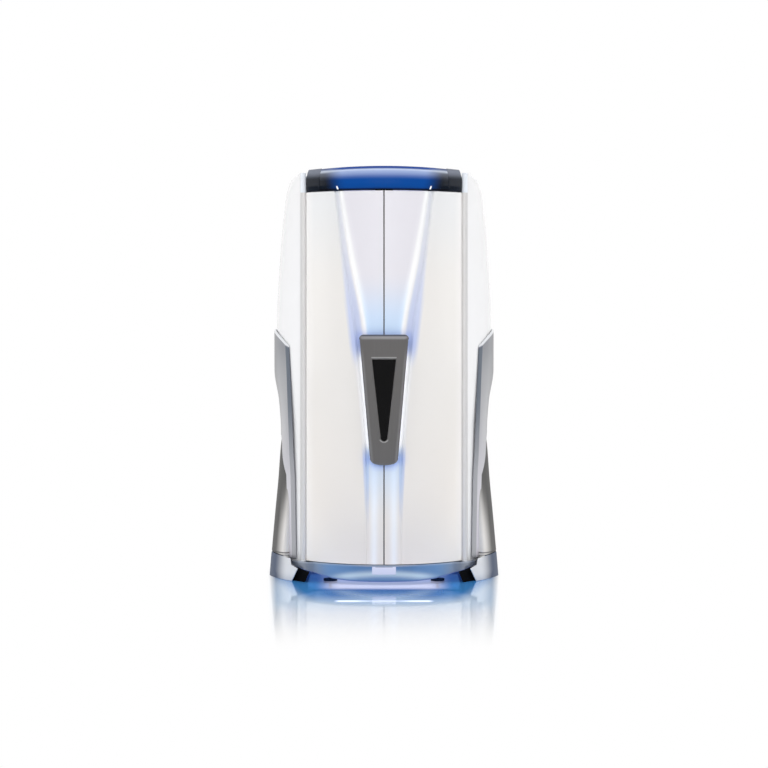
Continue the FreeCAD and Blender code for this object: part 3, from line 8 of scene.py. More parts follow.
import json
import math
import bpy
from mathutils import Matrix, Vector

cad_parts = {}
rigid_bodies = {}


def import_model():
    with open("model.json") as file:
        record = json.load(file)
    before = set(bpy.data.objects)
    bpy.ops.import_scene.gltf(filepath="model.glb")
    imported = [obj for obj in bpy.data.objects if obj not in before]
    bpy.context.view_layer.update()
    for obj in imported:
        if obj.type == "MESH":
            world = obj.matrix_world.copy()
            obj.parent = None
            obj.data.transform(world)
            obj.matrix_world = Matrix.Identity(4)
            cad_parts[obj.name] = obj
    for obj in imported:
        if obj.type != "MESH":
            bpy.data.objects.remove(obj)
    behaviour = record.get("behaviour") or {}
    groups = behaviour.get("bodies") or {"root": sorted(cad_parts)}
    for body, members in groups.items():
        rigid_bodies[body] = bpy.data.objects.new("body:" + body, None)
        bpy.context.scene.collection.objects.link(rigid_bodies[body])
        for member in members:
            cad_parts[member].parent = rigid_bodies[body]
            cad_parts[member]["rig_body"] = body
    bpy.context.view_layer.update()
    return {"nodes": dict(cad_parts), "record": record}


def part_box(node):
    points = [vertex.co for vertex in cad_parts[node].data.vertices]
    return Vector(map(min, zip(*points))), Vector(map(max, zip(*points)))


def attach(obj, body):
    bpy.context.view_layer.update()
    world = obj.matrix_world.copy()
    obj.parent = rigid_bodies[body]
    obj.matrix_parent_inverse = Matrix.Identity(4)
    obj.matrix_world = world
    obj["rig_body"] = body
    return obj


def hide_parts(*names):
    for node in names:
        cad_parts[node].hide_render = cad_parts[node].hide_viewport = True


bl_info = {
    "name": "Vertical tanning booth",
    "version": (1, 0, 0),
    "blender": (4, 5, 0),
    "location": "3D View > Sidebar > Booth",
    "description": "Builds the shells, finishes and studio of a vertical tanning booth",
    "category": "Add Mesh",
}

import bmesh
import bpy
import numpy as np
from bpy.props import FloatProperty, FloatVectorProperty, PointerProperty
from bpy.types import Operator, Panel, PropertyGroup
from mathutils import Vector

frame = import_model()
# what turns the points of the right front to each side and to the rear
HANDS = (("right", np.array([1.0, 1.0, 1.0])), ("left", np.array([-1.0, 1.0, 1.0])))
TO_REAR = np.array([1.0, -1.0, 1.0])
WELD = 1e-6      # points closer than this are one
TRIM_WALL = 0.005      # boots, visor and skirt
DOOR_LOW, DOOR_HIGH = (corner.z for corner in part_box("door_shell_right"))
DOOR_R = -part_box("door_shell_right")[0].y
LENS_LOW, LENS_HIGH = (corner.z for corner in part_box("threshold_lens"))
VISOR_LOW, VISOR_HIGH = (corner.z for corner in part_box("canopy_visor"))
LAMP_LOW, LAMP_HIGH = (corner.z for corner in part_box("door_lamps_right"))
DISPLAY_MIDDLE = 0.5 * sum(corner.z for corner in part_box("display"))


# ------------------------------------------------------------ curves, grids and meshes
def spaced(first, last, count):
    """Evenly spaced numbers, ends included."""
    return np.linspace(first, last, count)


def stations(*values, steps):
    """Numbers that pass through every given value, with steps even spans between neighbours."""
    spans = [spaced(a, b, steps + 1)[:-1] for a, b in zip(values, values[1:])]
    return np.concatenate(spans + [[values[-1]]])


def flowing(pairs, at):
    """Smooth reading of (place, value) pairs by cubic spans. The slope at an inner place is
    the harmonic mean of the slopes on both sides, or level where they turn, so that no span
    overshoots its ends."""
    x, y = np.array(pairs, float).T
    slope = np.diff(y) / np.diff(x)
    inner = np.where(slope[:-1] * slope[1:] > 0,
                     2 * slope[:-1] * slope[1:] / (slope[:-1] + slope[1:] + 1e-12), 0.0)
    grad = np.concatenate([[slope[0]], inner, [slope[-1]]])
    at = np.clip(np.asarray(at, float), x[0], x[-1])
    k = np.clip(np.searchsorted(x, at) - 1, 0, len(x) - 2)
    h = x[k + 1] - x[k]
    t = (at - x[k]) / h
    return ((2 * t ** 3 - 3 * t ** 2 + 1) * y[k] + (t ** 3 - 2 * t ** 2 + t) * h * grad[k]
            + (3 * t ** 2 - 2 * t ** 3) * y[k + 1] + (t ** 3 - t ** 2) * h * grad[k + 1])


def eased(t):
    """0 to 1 with level ends: 3t^2 - 2t^3 on t cut to 0..1."""
    t = np.clip(t, 0.0, 1.0)
    return t * t * (3.0 - 2.0 * t)


def risen(value, start, length):
    """An eased rise that leaves 0 at the start and reaches 1 a length past it."""
    return eased((value - start) / length)


def fallen(value, end, length):
    """An eased fall that leaves 1 a length before the end and reaches 0 there."""
    return eased((end - value) / length)


def bell(value, middle, width):
    """A bell curve: e to the minus square of the distance from the middle over the width."""
    return np.exp(-((value - middle) / width) ** 2)


def polar(radius, phi, z):
    """Points at a radius and an angle in degrees from the front, arrays or numbers."""
    turn = np.radians(phi)
    return np.stack(np.broadcast_arrays(radius * np.sin(turn), -radius * np.cos(turn), z),
                    axis=-1)


def quads(rows, cols, wrap_cols=False):
    """Faces between neighbouring points of a grid, as rows of four point numbers."""
    r, c = np.meshgrid(np.arange(rows - 1), np.arange(cols - (not wrap_cols)), indexing="ij")
    near, along = r.ravel() * cols, (c.ravel() + 1) % cols
    return np.stack([near + c.ravel(), near + along, near + cols + along,
                     near + cols + c.ravel()], 1)


def shaded(mesh, sharp):
    """An object of the mesh's name, smooth apart from edges whose faces meet steeply."""
    mesh.polygons.foreach_set("use_smooth", np.ones(len(mesh.polygons), bool))
    mesh.set_sharp_from_angle(angle=math.radians(sharp))
    piece = bpy.data.objects.new(mesh.name, mesh)
    bpy.context.scene.collection.objects.link(piece)
    return piece


def new_mesh(name, points, faces, sharp):
    """A smooth-shaded mesh object with outward faces, sharp where faces meet steeply."""
    mesh = bpy.data.meshes.new(name)
    corners = [list(dict.fromkeys(face)) for face in np.asarray(faces, object).tolist()]
    mesh.from_pydata(points.reshape(-1, 3).tolist(), [],
                     [face for face in corners if len(face) > 2])
    work = bmesh.new()
    work.from_mesh(mesh)
    bmesh.ops.remove_doubles(work, verts=work.verts, dist=WELD)
    bmesh.ops.recalc_face_normals(work, faces=work.faces)
    work.to_mesh(mesh)
    work.free()
    return shaded(mesh, sharp)


def tube_faces(tubes, rows, cols):
    """Faces of closed tubes: quads round the rings of all of them, then each one's two ends."""
    starts = np.arange(tubes) * rows * cols
    faces = (quads(rows, cols, wrap_cols=True) + starts[:, None, None]).reshape(-1, 4).tolist()
    for start in starts.tolist():
        faces += [list(range(start + end, start + end + cols)) for end in (0, (rows - 1) * cols)]
    return faces


def loop_solid(name, rings, sharp):
    """A closed solid from section loops, with flat end caps."""
    return new_mesh(name, rings, tube_faces(1, *rings.shape[:2]), sharp)


def rounded(piece, width, segments=2, angle=60.0):
    """Rounds the piece's sharp edges with a bevel."""
    bevel = piece.modifiers.new("rounding", "BEVEL")
    bevel.width = width
    bevel.segments = segments
    bevel.limit_method = "ANGLE"
    bevel.angle_limit = math.radians(angle)
    return piece


def welded(name, node):
    """A smooth-shaded copy of a CAD node whose loose triangles are joined at their corners."""
    source = frame["nodes"][node].data
    points = np.zeros(len(source.vertices) * 3)
    source.vertices.foreach_get("co", points)
    corners = np.zeros(len(source.loops), int)
    source.loops.foreach_get("vertex_index", corners)
    _, first, which = np.unique(np.round(points.reshape(-1, 3) / WELD).astype(np.int64),
                                axis=0, return_index=True, return_inverse=True)
    triangles = which.ravel()[corners.reshape(-1, 3)]
    whole = ((triangles[:, 0] != triangles[:, 1]) & (triangles[:, 1] != triangles[:, 2])
             & (triangles[:, 2] != triangles[:, 0]))
    mesh = bpy.data.meshes.new(name)
    mesh.from_pydata(points.reshape(-1, 3)[first].tolist(), [], triangles[whole].tolist())
    return shaded(mesh, 30.0)


def paired_faces(grid):
    """Faces of a grid and of its mirror image, whose points follow the grid's own."""
    faces = quads(*grid.shape[:2])
    return np.concatenate([faces, faces[:, ::-1] + grid[..., 0].size])


def walled(name, outer, inner, faces, sharp):
    """A closed wall between two matching sheets: the faces of both, and a quad between them
    for every edge that only one face of the outer sheet uses."""
    outer, inner = outer.reshape(-1, 3), inner.reshape(-1, 3)
    _, first, which = np.unique(np.round(outer / WELD).astype(np.int64), axis=0,
                                return_index=True, return_inverse=True)
    faces = which.ravel()[faces]
    edges = np.concatenate([faces[:, [k, (k + 1) % 4]] for k in range(4)])
    edges = edges[edges[:, 0] != edges[:, 1]]
    pairs, count = np.unique(np.sort(edges, axis=1), axis=0, return_counts=True)
    rim = pairs[count == 1]
    total = len(first)
    strip = np.stack([rim[:, 0], rim[:, 1], rim[:, 1] + total, rim[:, 0] + total], 1)
    every = np.concatenate([faces, faces[:, ::-1] + total, strip])
    return new_mesh(name, np.concatenate([outer[first], inner[first]]), every, sharp)


def walled_grid(name, outer, inner, sharp):
    """A closed wall between two grids of the same size."""
    return walled(name, outer, inner, quads(*outer.shape[:2]), sharp)


def walled_halves(name, outer, inner, hand, sharp):
    """A closed wall from the sheets of a front half and their mirror image at the rear."""
    sheets = [np.concatenate([(sheet * turn).reshape(-1, 3) for turn in (hand, hand * TO_REAR)])
              for sheet in (outer, inner)]
    return walled(name, *sheets, paired_faces(outer), sharp)


def corners_of(piece):
    """The piece's points as an array."""
    points = np.zeros(len(piece.data.vertices) * 3)
    piece.data.vertices.foreach_get("co", points)
    return points.reshape(-1, 3)


def turned(points):
    """Each point's angle in degrees from the front or rear centre line: the arctangent of its
    distance aside over its distance ahead or behind."""
    return np.degrees(np.arctan2(np.abs(points[:, 0]), np.abs(points[:, 1])))


def mask(piece, name, values):
    """Stores one value from 0 to 1 per point, for the piece's material to read."""
    attribute = piece.data.attributes.new(name, "FLOAT", "POINT")
    attribute.data.foreach_set("value", np.clip(values, 0.0, 1.0).astype(np.float32))


def node_slot(node):
    """The material slot that the record gives a node."""
    return next(part["material_slot"] for part in frame["record"]["subparts"]
                if part["node"] == node)


def finish_piece(piece, body, slot, colours, *nodes, finish=None):
    """Gives a piece the material of its record slot or own finish and its body, and hides the CAD
    nodes it stands for.
    """
    piece.data.materials.clear()
    piece.data.materials.append(finish_of(finish or slot, colours))
    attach(piece, body)
    if nodes:
        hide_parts(*nodes)


def stand_ins(colours, *nodes, rounding=0.0, finish=None):
    """Welded smooth copies that take CAD nodes' places, with the nodes' bodies and the materials
    of their slots.
    """
    for node in nodes:
        piece = welded(node + "_surface", node)
        if rounding:
            rounded(piece, rounding, angle=50.0)
        finish_piece(piece, frame["nodes"][node]["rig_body"], node_slot(node), colours, node,
                     finish=finish)


# ------------------------------------------------------------ shader trees
def tint(red, green, blue):
    """A screen colour of 0 to 255 a channel as linear light."""
    value = np.array([red, green, blue]) / 255.0
    linear = np.where(value <= 0.04045, value / 12.92, ((value + 0.055) / 1.055) ** 2.4)
    return tuple(float(channel) for channel in linear)


def titled(key):
    """A keyword as the name of a socket: peel_scale is Peel Scale."""
    return key.replace("_", " ").title()


class Graph:
    """Short ways to add nodes to one shader tree. Any value may be a socket or a number."""

    def __init__(self, tree):
        self.tree = tree

    def feed(self, socket, value):
        """Links a socket, or writes a number or a colour; a tuple is a screen colour."""
        if isinstance(value, bpy.types.NodeSocket):
            self.tree.links.new(value, socket)
        elif socket.type == "RGBA":
            socket.default_value = (*(tint(*value) if isinstance(value, tuple) else value), 1.0)
        else:
            socket.default_value = value

    def node(self, kind, inputs, **options):
        """A new node's outputs, once its options are set and its inputs are fed."""
        node = self.tree.nodes.new("ShaderNode" + kind)
        for name, value in options.items():
            setattr(node, name, value)
        for key, value in inputs.items():
            self.feed(node.inputs[key], value)
        return node.outputs

    def math(self, operation, first, *others):
        """A Math operation on one value, or on several one after the other."""
        if not others:
            return self.node("Math", {0: first}, operation=operation)[0]
        for other in others:
            first = self.node("Math", {0: first, 1: other}, operation=operation)[0]
        return first

    def times(self, *values):
        """The product of values."""
        return self.math("MULTIPLY", *values)

    def ranged(self, value, low, high, to_low=0.0, to_high=1.0):
        """A smooth step of a value between two ends."""
        ends = {"Value": value, "From Min": low, "From Max": high, "To Min": to_low,
                "To Max": to_high}
        return self.node("MapRange", ends, interpolation_type="SMOOTHSTEP")["Result"]

    def falling(self, value, low, high):
        """1 under the low end and 0 over the high one."""
        return self.ranged(value, low, high, 1.0, 0.0)

    def within(self, value, first, second, third, last):
        """A rise between the first two ends times a fall between the last two."""
        return self.times(self.ranged(value, first, second), self.falling(value, third, last))

    def mix(self, share, first, second, blend="MIX"):
        """Two colours mixed by a share from 0 to 1."""
        return self.node("Mix", {0: share, 6: first, 7: second}, data_type="RGBA",
                         blend_type=blend)[2]

    def coats(self, base, *coats):
        """A base colour under coats, each a share and a colour."""
        for share, colour in coats:
            base = self.mix(share, base, colour)
        return base

    def place(self, kind="Object"):
        """The object's own x, y and z."""
        return self.node("SeparateXYZ", {0: self.node("TexCoord", {})[kind]})

    def stored(self, name, strength=1.0):
        """The value that a piece stores per point under this name, times a strength."""
        value = self.node("Attribute", {}, attribute_name=name)["Fac"]
        return value if strength == 1.0 else self.times(value, strength)

    def noise(self, place, scale, detail):
        """Cloudy noise."""
        return self.node("TexNoise", {"Vector": place, "Scale": scale, "Detail": detail})["Fac"]

    def bump(self, height, distance, strength):
        """A normal that follows a height."""
        return self.node("Bump", {"Strength": strength, "Distance": distance,
                                  "Height": height})["Normal"]

    def swing(self, value, spread, middle):
        """A value of 0 to 1 swung round a middle: value less a half, times spread, plus middle."""
        return self.math("ADD", self.times(self.math("SUBTRACT", value, 0.5), spread), middle)

    def seen(self):
        """1 for the camera's rays, and 1 for those, reflected and transmitted ones."""
        rays = self.node("LightPath", {})
        return rays["Is Camera Ray"], self.math(
            "MAXIMUM", rays["Is Camera Ray"], rays["Is Glossy Ray"], rays["Is Transmission Ray"])


class Group(Graph):
    """A shared shader group whose inputs are named with their defaults."""

    def __init__(self, name, **inputs):
        super().__init__(bpy.data.node_groups.new(name, "ShaderNodeTree"))
        for key, default in inputs.items():
            self.socket(key, "INPUT", isinstance(default, tuple)).default_value = default
        self.enter = self.tree.nodes.new("NodeGroupInput").outputs
        self.here = self.node("TexCoord", {})["Object"]

    def socket(self, key, way, vector):
        """A new socket of the group."""
        kind = "NodeSocketVector" if vector else "NodeSocketFloat"
        return self.tree.interface.new_socket(titled(key), in_out=way, socket_type=kind)

    def leave(self, **outputs):
        """Names the group's outputs and links them; gives the group's tree."""
        for key in outputs:
            self.socket(key, "OUTPUT", key == "normal")
        last = self.tree.nodes.new("NodeGroupOutput").inputs
        for key, value in outputs.items():
            self.tree.links.new(value, last[titled(key)])
        return self.tree


def moulded_gloss():
    """Moulded gloss: the faint orange peel of a sprayed surface and its uneven roughness."""
    group = Group("moulded_gloss", peel_scale=220.0, peel_strength=0.02, roughness=0.2,
                  roughness_spread=0.05)
    peel = group.noise(group.here, group.enter["Peel Scale"], 2.0)
    smear = group.noise(group.here, 3.0, 4.0)
    return group.leave(
        roughness=group.swing(smear, group.enter["Roughness Spread"], group.enter["Roughness"]),
        normal=group.bump(peel, 0.002, group.enter["Peel Strength"]))


def metal_flake():
    """Metallic paint: fine flakes that tilt the normal and vary the tone."""
    group = Group("metal_flake", flake_scale=900.0, tilt=0.08, tone=0.06)
    flakes = group.node("TexVoronoi", {"Vector": group.here,
                                       "Scale": group.enter["Flake Scale"]})["Color"]
    split = group.node("SeparateColor", {"Color": flakes})
    return group.leave(tone=group.swing(split["Green"], group.enter["Tone"], 1.0),
                       normal=group.bump(split["Red"], 0.001, group.enter["Tilt"]))


def brushed_streaks():
    """Brushed or drawn metal: fine streaks along one axis, set by the stretch of the pattern."""
    group = Group("brushed_streaks", stretch=(400.0, 400.0, 4.0), depth=0.1, roughness=0.3,
                  roughness_spread=0.12)
    stretched = group.node("VectorMath", {0: group.here, 1: group.enter["Stretch"]},
                           operation="MULTIPLY")[0]
    streaks = group.noise(stretched, 1.0, 3.0)
    return group.leave(
        tone=group.swing(streaks, 0.15, 1.0),
        roughness=group.swing(streaks, group.enter["Roughness Spread"], group.enter["Roughness"]),
        normal=group.bump(streaks, 0.001, group.enter["Depth"]))


def moulded_grain():
    """Matte moulded grain: a leather-like spark-eroded texture with slightly uneven colour."""
    group = Group("moulded_grain", grain_scale=500.0, grain_depth=0.25, tone=0.25)
    grain = group.node("TexVoronoi", {"Vector": group.here, "Scale": group.enter["Grain Scale"]},
                       feature="SMOOTH_F1")["Distance"]
    return group.leave(
        tone=group.swing(group.noise(group.here, 9.0, 5.0), group.enter["Tone"], 1.0),
        normal=group.bump(grain, 0.001, group.enter["Grain Depth"]))


GROUP_MAKERS = {"gloss": moulded_gloss, "flake": metal_flake, "streaks": brushed_streaks,
                "grain": moulded_grain}
GROUPS = {}
SHADER_SOCKETS = {"coat": "Coat Weight", "specular": "Specular IOR Level", "ior": "IOR",
                  "transmission": "Transmission Weight"}


class Paint(Graph):
    """A material with one Principled shader, whose even values sit on the shader itself."""

    def __init__(self, name, colour, roughness, **values):
        self.material = bpy.data.materials.new(name)
        self.material.use_nodes = True
        super().__init__(self.material.node_tree)
        self.colour = colour
        self.shader = self.tree.nodes["Principled BSDF"]
        self.set(base_color=colour, roughness=roughness, **values)

    def set(self, **values):
        """Feeds the shader's sockets."""
        for key, value in values.items():
            self.feed(self.shader.inputs[SHADER_SOCKETS.get(key, titled(key))], value)

    def finish(self, group, base=None, uneven=True, **values):
        """Lays a shared group over the shader: its tone times the base colour, its roughness
        where that is uneven, and its normal."""
        if group not in GROUPS:
            GROUPS[group] = GROUP_MAKERS[group]()
        looks = self.node("Group", {titled(key): value for key, value in values.items()},
                          node_tree=GROUPS[group])
        if "Tone" in looks:
            grey = self.node("CombineColor", dict.fromkeys(range(3), looks["Tone"]))[0]
            base = self.mix(1.0, self.colour if base is None else base, grey, "MULTIPLY")
        if base is not None:
            self.set(base_color=base)
        if uneven and "Roughness" in looks:
            self.set(roughness=looks["Roughness"])
        self.set(normal=looks["Normal"])
        return self.material


# ------------------------------------------------------------ materials
def gloss_plastic(name, colour, roughness, coat, peel=0.02):
    """Sprayed or moulded gloss plastic with faint orange peel."""
    return Paint(name, colour, roughness, coat=coat).finish(
        "gloss", roughness=roughness, peel_strength=peel)


def drawn_metal(name, colour, roughness, stretch, depth=0.1):
    """Bare metal with streaks along the way it was drawn or brushed."""
    return Paint(name, colour, roughness, metallic=1.0).finish(
        "streaks", stretch=stretch, depth=depth, roughness=roughness)


def grained(name, colour, roughness, scale, depth, metallic=0.0, specular=0.5):
    """Matte plastic, rubber or powder coat with a fine grain."""
    return Paint(name, colour, roughness, metallic=metallic, specular=specular).finish(
        "grain", grain_scale=scale, grain_depth=depth)


def clear_sheet(name, colour, roughness):
    """Clear acrylic, with a plain transmission weight."""
    return Paint(name, colour, roughness, ior=1.49, transmission=1.0).finish(
        "gloss", uneven=False, roughness=roughness, roughness_spread=0.01, peel_strength=0.003,
        peel_scale=40.0)


def flaked(name, colour, roughness, metallic, coat, coat_roughness, specular, *coats):
    """Silver paint: flakes under a thin clear coat, over coats that the piece stores."""
    paint = Paint(name, colour, roughness, metallic=metallic, coat=coat,
                  coat_roughness=coat_roughness, specular=specular)
    base = paint.coats(colour, *((paint.stored(key, strength), shade)
                                 for key, strength, shade in coats))
    return paint.finish("flake", base, tone=0.05)


def door_paint(colours):
    """Sprayed door: warm white and a lavender panel between the grooves, with painted light and
    shade: warmer towards the floor and greyer near the top, a lighter hinge edge, bluish light
    and shade in the pressed groove, a highlight on the ridge, and the blue and white light that
    spills from behind the pull plate, each where the skin stores it."""
    paint = Paint("door_paint", colours.door_white, 0.22, coat=0.5, emission_strength=1.0)
    z = paint.place()[2]
    base = paint.coats(
        colours.door_white,
        # painted shade: warmer towards the floor, greyer near the top
        (paint.falling(z, 0.1, 1.3), (249, 242, 234)),
        (paint.ranged(z, 1.65, 2.25), (233, 234, 235)),
        (paint.stored("panel"), colours.panel_lavender),
        # painted light and shade: a lighter hinge edge, bluish light and shade in the groove, a
        # highlight on the ridge
        (paint.stored("edge", 0.5), (252, 250, 248)),
        (paint.stored("recess"), colours.groove_lavender),
        (paint.stored("ridge"), (254, 254, 254)),
        (paint.stored("glow"), colours.glow_pale),
        (paint.stored("gleam"), (250, 251, 254)),
        (paint.stored("halo"), colours.glow_blue))
    # painted glow of the ridge's highlight and of the pale light beside the plate
    shine = paint.math("ADD", paint.stored("ridge", 0.05), paint.stored("glow", 0.10))
    paint.set(emission_color=paint.coats(
        (0, 0, 0), (shine, (225, 235, 255)), (paint.stored("gleam", 0.55), (248, 250, 255)),
        (paint.stored("halo", 0.14), (90, 140, 250))))
    return paint.finish("gloss", base, roughness=0.22, peel_strength=0.015)


def frame_paint(colours):
    """Door frames: pale satin paint with painted shade, darker along the outer side of the hinge
    tube.
    """
    paint = Paint("door_frame_silver", colours.hinge_grey, 0.42, metallic=0.12, coat=0.1,
                  coat_roughness=0.2)
    # painted shade along the outer side of the hinge tube
    outer = paint.ranged(paint.math("ABSOLUTE", paint.place()[0]), 0.462, 0.483)
    return paint.finish("flake", paint.mix(outer, colours.hinge_grey, (213, 212, 212)),
                        tone=0.02)


def armour_paint(colours):
    """Silver armour: flaked paint with painted light and shade: lighter towards the floor, darker
    near the top and round the outside, darker edge facets painted lighter near the floor, and a
    painted highlight along the upper edge.
    """
    paint = Paint("armour_paint", colours.armour_silver, 0.36, metallic=0.55, coat=0.2,
                  coat_roughness=0.15)
    z = paint.place()[2]
    # the edge facets, painted lighter towards the floor
    slate = paint.mix(paint.falling(z, 0.50, 1.12), colours.armour_slate, (172, 173, 178))
    base = paint.coats(
        colours.armour_silver,
        # painted light and shade: lighter towards the floor, darker near the top
        (paint.falling(z, 0.2, 1.15), (222, 220, 228)),
        (paint.ranged(z, 1.15, 1.40), (136, 138, 144)),
        (paint.stored("band"), slate),
        # painted shade round the outside, and a painted highlight along the upper edge
        (paint.stored("side", 0.7), (96, 97, 102)),
        (paint.stored("crest"), (232, 234, 238)))
    return paint.finish("flake", base, tone=0.06)


GLINT_LEAN, GLINT_FOOT = 0.35, 0.262      # slope and distance aside of the two painted glints at the visor's foot


def visor_acrylic(colours):
    """Visor: deep blue gloss acrylic, smoked towards its ends and black along the lower edge, with
    painted light: pale towards the top, painted as the light bar shining through it and, on the
    smoked ends, as a reflection, a painted highlight under the crest, a glow from the light bar
    and two slanting painted glints."""
    paint = Paint("visor_acrylic", colours.visor_blue, 0.12, coat=0.1, specular=0.3,
                  emission_strength=1.0)
    x, _, z = paint.place()
    rise = paint.math("SUBTRACT", z, VISOR_LOW)
    middle = paint.math("ADD", paint.times(rise, GLINT_LEAN), GLINT_FOOT)
    off = paint.math("ABSOLUTE", paint.math("SUBTRACT", paint.math("ABSOLUTE", x), middle))
    # two slanting painted glints
    glint = paint.times(paint.falling(off, 0.0025, 0.0055),
                        paint.within(rise, 0.004, 0.009, 0.018, 0.028))
    # painted light: the light bar shining through, and a reflection on the smoked ends
    pale = paint.stored("pale")
    base = paint.coats(
        paint.mix(pale, colours.visor_blue, (184, 200, 232)),
        (paint.stored("smoke"), paint.mix(pale, colours.cap_slate, (132, 138, 152))),
        (paint.stored("crest"), (22, 58, 132)),
        # painted highlight under the crest
        (paint.stored("shine"), (216, 226, 242)),
        (paint.stored("foot"), (8, 8, 14)),
        (glint, (235, 238, 244)))
    # painted glow from the light bar, and the glints
    paint.set(emission_color=paint.coats((0, 0, 0), (paint.stored("lit", 0.10),
                                                     colours.visor_blue),
                                         (paint.times(glint, 0.5), (255, 255, 255))))
    return paint.finish("gloss", base, roughness=0.12, peel_strength=0.01)


def smoked_cap(colours):
    """Canopy ends: smoked gloss plastic with a painted highlight that pales it towards its upper
    edge.
    """
    paint = Paint("smoked_cap", colours.cap_slate, 0.14, coat=0.1, specular=0.3)
    # painted highlight towards the upper edge
    pale = paint.ranged(paint.place()[2], VISOR_LOW + 0.068, VISOR_LOW + 0.112, 0.0, 0.75)
    return paint.finish("gloss", paint.mix(pale, colours.cap_slate, (132, 138, 152)),
                        roughness=0.14, peel_strength=0.01)


# where the plate's painted highlights rise and fall, from the inset's edge, its foot's middle
# or the axis
CRESCENT = (0.0025, 0.0045, 0.0075, 0.0105)
CRESCENT_TOP = (-0.016, -0.008)
HEAD_LINE = (0.0052, 0.0068, 0.0110, 0.0140)
HIGHLIGHT_FACE = (-0.6845, -0.6815)


def plate_metal(colours):
    """Pull plate: satin metal paint with a fine vertical grain, painted shade at its rim, and
    painted highlights: a sheen under its top edge and on its lower sides, a bright line over the
    inset and a bright crescent, a ring's lower part, under its foot."""
    paint = Paint("plate_metal", colours.plate_grey, 0.38, metallic=0.35, coat=0.1,
                  coat_roughness=0.2)
    (low, foot), (high, head) = INSET_EDGE
    x, y, z = paint.place()
    up, across = paint.math("SUBTRACT", z, low), paint.math("ABSOLUTE", x)
    reach = paint.math("SQRT", paint.math("ADD", paint.times(up, up),
                                          paint.times(across, across)))
    crescent = paint.times(paint.within(reach, *(foot + gap for gap in CRESCENT)),
                           paint.falling(up, *CRESCENT_TOP))
    line = paint.times(paint.within(z, *(high + gap for gap in HEAD_LINE)),
                       paint.falling(across, head + 0.001, head + 0.004))
    # painted highlights, only on the plate's face
    marks = paint.times(paint.math("MAXIMUM", crescent, line),
                        paint.falling(y, *HIGHLIGHT_FACE))
    # painted highlights on the bevels, painted shade at the rim
    base = paint.coats(colours.plate_grey, (paint.stored("sheen", 0.8), (196, 196, 199)),
                       (paint.stored("rim", 0.8), (66, 70, 92)), (marks, (176, 175, 174)))
    return paint.finish("streaks", base, stretch=(250.0, 250.0, 6.0), depth=0.05,
                        roughness=0.38)


def tube_glass(colours):
    """Lamp tubes: milky coated glass with pressed metal ends."""
    paint = Paint("tube_glass", colours.lamp_white, 0.14, coat=0.6)
    cap = paint.stored("cap")
    paint.set(metallic=cap)
    return paint.finish("grain", paint.mix(cap, colours.lamp_white, (196, 198, 202)),
                        grain_scale=120.0, grain_depth=0.02, tone=0.1)


def lit_lens(_):
    """Frosted lens with a soft white light behind it and painted shade along its upper edge."""
    paint = Paint("lit_lens", (232, 236, 248), 0.3, coat=0.6, emission_strength=0.12)
    x, _, z = paint.place()
    light = paint.ranged(z, LENS_LOW, LENS_HIGH, 0.2, 0.6)
    # painted shade along the upper edge
    shade = paint.times(paint.ranged(z, LENS_HIGH - 0.009, LENS_HIGH - 0.005, 0.0, 0.5),
                        paint.falling(paint.math("ABSOLUTE", x), 0.044, 0.056))
    paint.set(emission_color=paint.mix(light, (0, 0, 0), (230, 236, 255)))
    base = paint.coats((214, 222, 244), (light, (232, 232, 246)), (shade, (70, 78, 110)))
    return paint.finish("gloss", base, uneven=False, peel_scale=600.0, peel_strength=0.05)


FIELD_ASIDE, FIELD_UP = (0.056, 0.058), (0.046, 0.048)      # where the lit field ends


def screen_glass(_):
    """Display: black glass with a faint lit field inside its frame."""
    paint = Paint("screen_glass", (16, 18, 22), 0.12, coat=0.6, emission_strength=0.6)
    x, _, z = paint.place()
    up = paint.math("ABSOLUTE", paint.math("SUBTRACT", z, DISPLAY_MIDDLE))
    field = paint.times(paint.falling(paint.math("ABSOLUTE", x), *FIELD_ASIDE),
                        paint.falling(up, *FIELD_UP))
    paint.set(emission_color=paint.mix(field, (0, 0, 0), (40, 80, 150)))
    return paint.finish("gloss", paint.mix(field, (30, 31, 35), (28, 52, 92)), uneven=False,
                        peel_strength=0.004)


def light_tube(_):
    """Blue light bar behind the visor, dimmer towards its ends."""
    paint = Paint("light_tube", (190, 205, 250), 0.3, emission_strength=1.5)
    ends = paint.ranged(paint.math("ABSOLUTE", paint.place()[0]), 0.24, 0.31, 1.0, 0.3)
    paint.set(emission_color=paint.mix(ends, [0.02, 0.03, 0.1], (120, 160, 255)))
    return paint.finish("gloss", uneven=False)


def leg_paint(colours):
    """Legs: flaked paint with painted shade that turns it from warm white to grey round the leg,
    and painted shade in the pressed line and the gap above the boot.
    """
    return flaked("leg_paint", colours.leg_silver, 0.40, 0.35, 0.04, 0.2, 0.2,
                  # painted shade round the outside, in the pressed line and in the gap above the boot
                  ("turn", 1.0, colours.leg_grey), ("line", 0.9, (60, 61, 64)))


def boot_paint(colours):
    """Boots: flaked silver with painted blue-grey shade round the outside and near the floor."""
    return flaked("boot_paint", colours.boot_silver, 0.36, 0.4, 0.06, 0.15, 0.25,
                  # painted shade round the outside and near the floor
                  ("turn", 1.0, colours.boot_blue))


def skirt_paint(colours):
    """Skirt: flaked blue silver whose blue is a painted reflection of the blue light beneath,
    greyer at its ends where that fades, with a painted highlight band along its lower part, a
    painted highlight on its top lip and painted shade along its lower edge.
    """
    return flaked("skirt_paint", colours.skirt_blue, 0.3, 0.45, 0.5, 0.08, 0.5,
                  # painted highlight band, greyer ends, painted highlight on the lip, painted shade at
                  # the rim
                  ("band", 1.0, colours.skirt_light), ("ends", 1.0, (132, 140, 154)),
                  ("lip", 1.0, (196, 204, 216)), ("rim", 0.8, (84, 104, 176)))


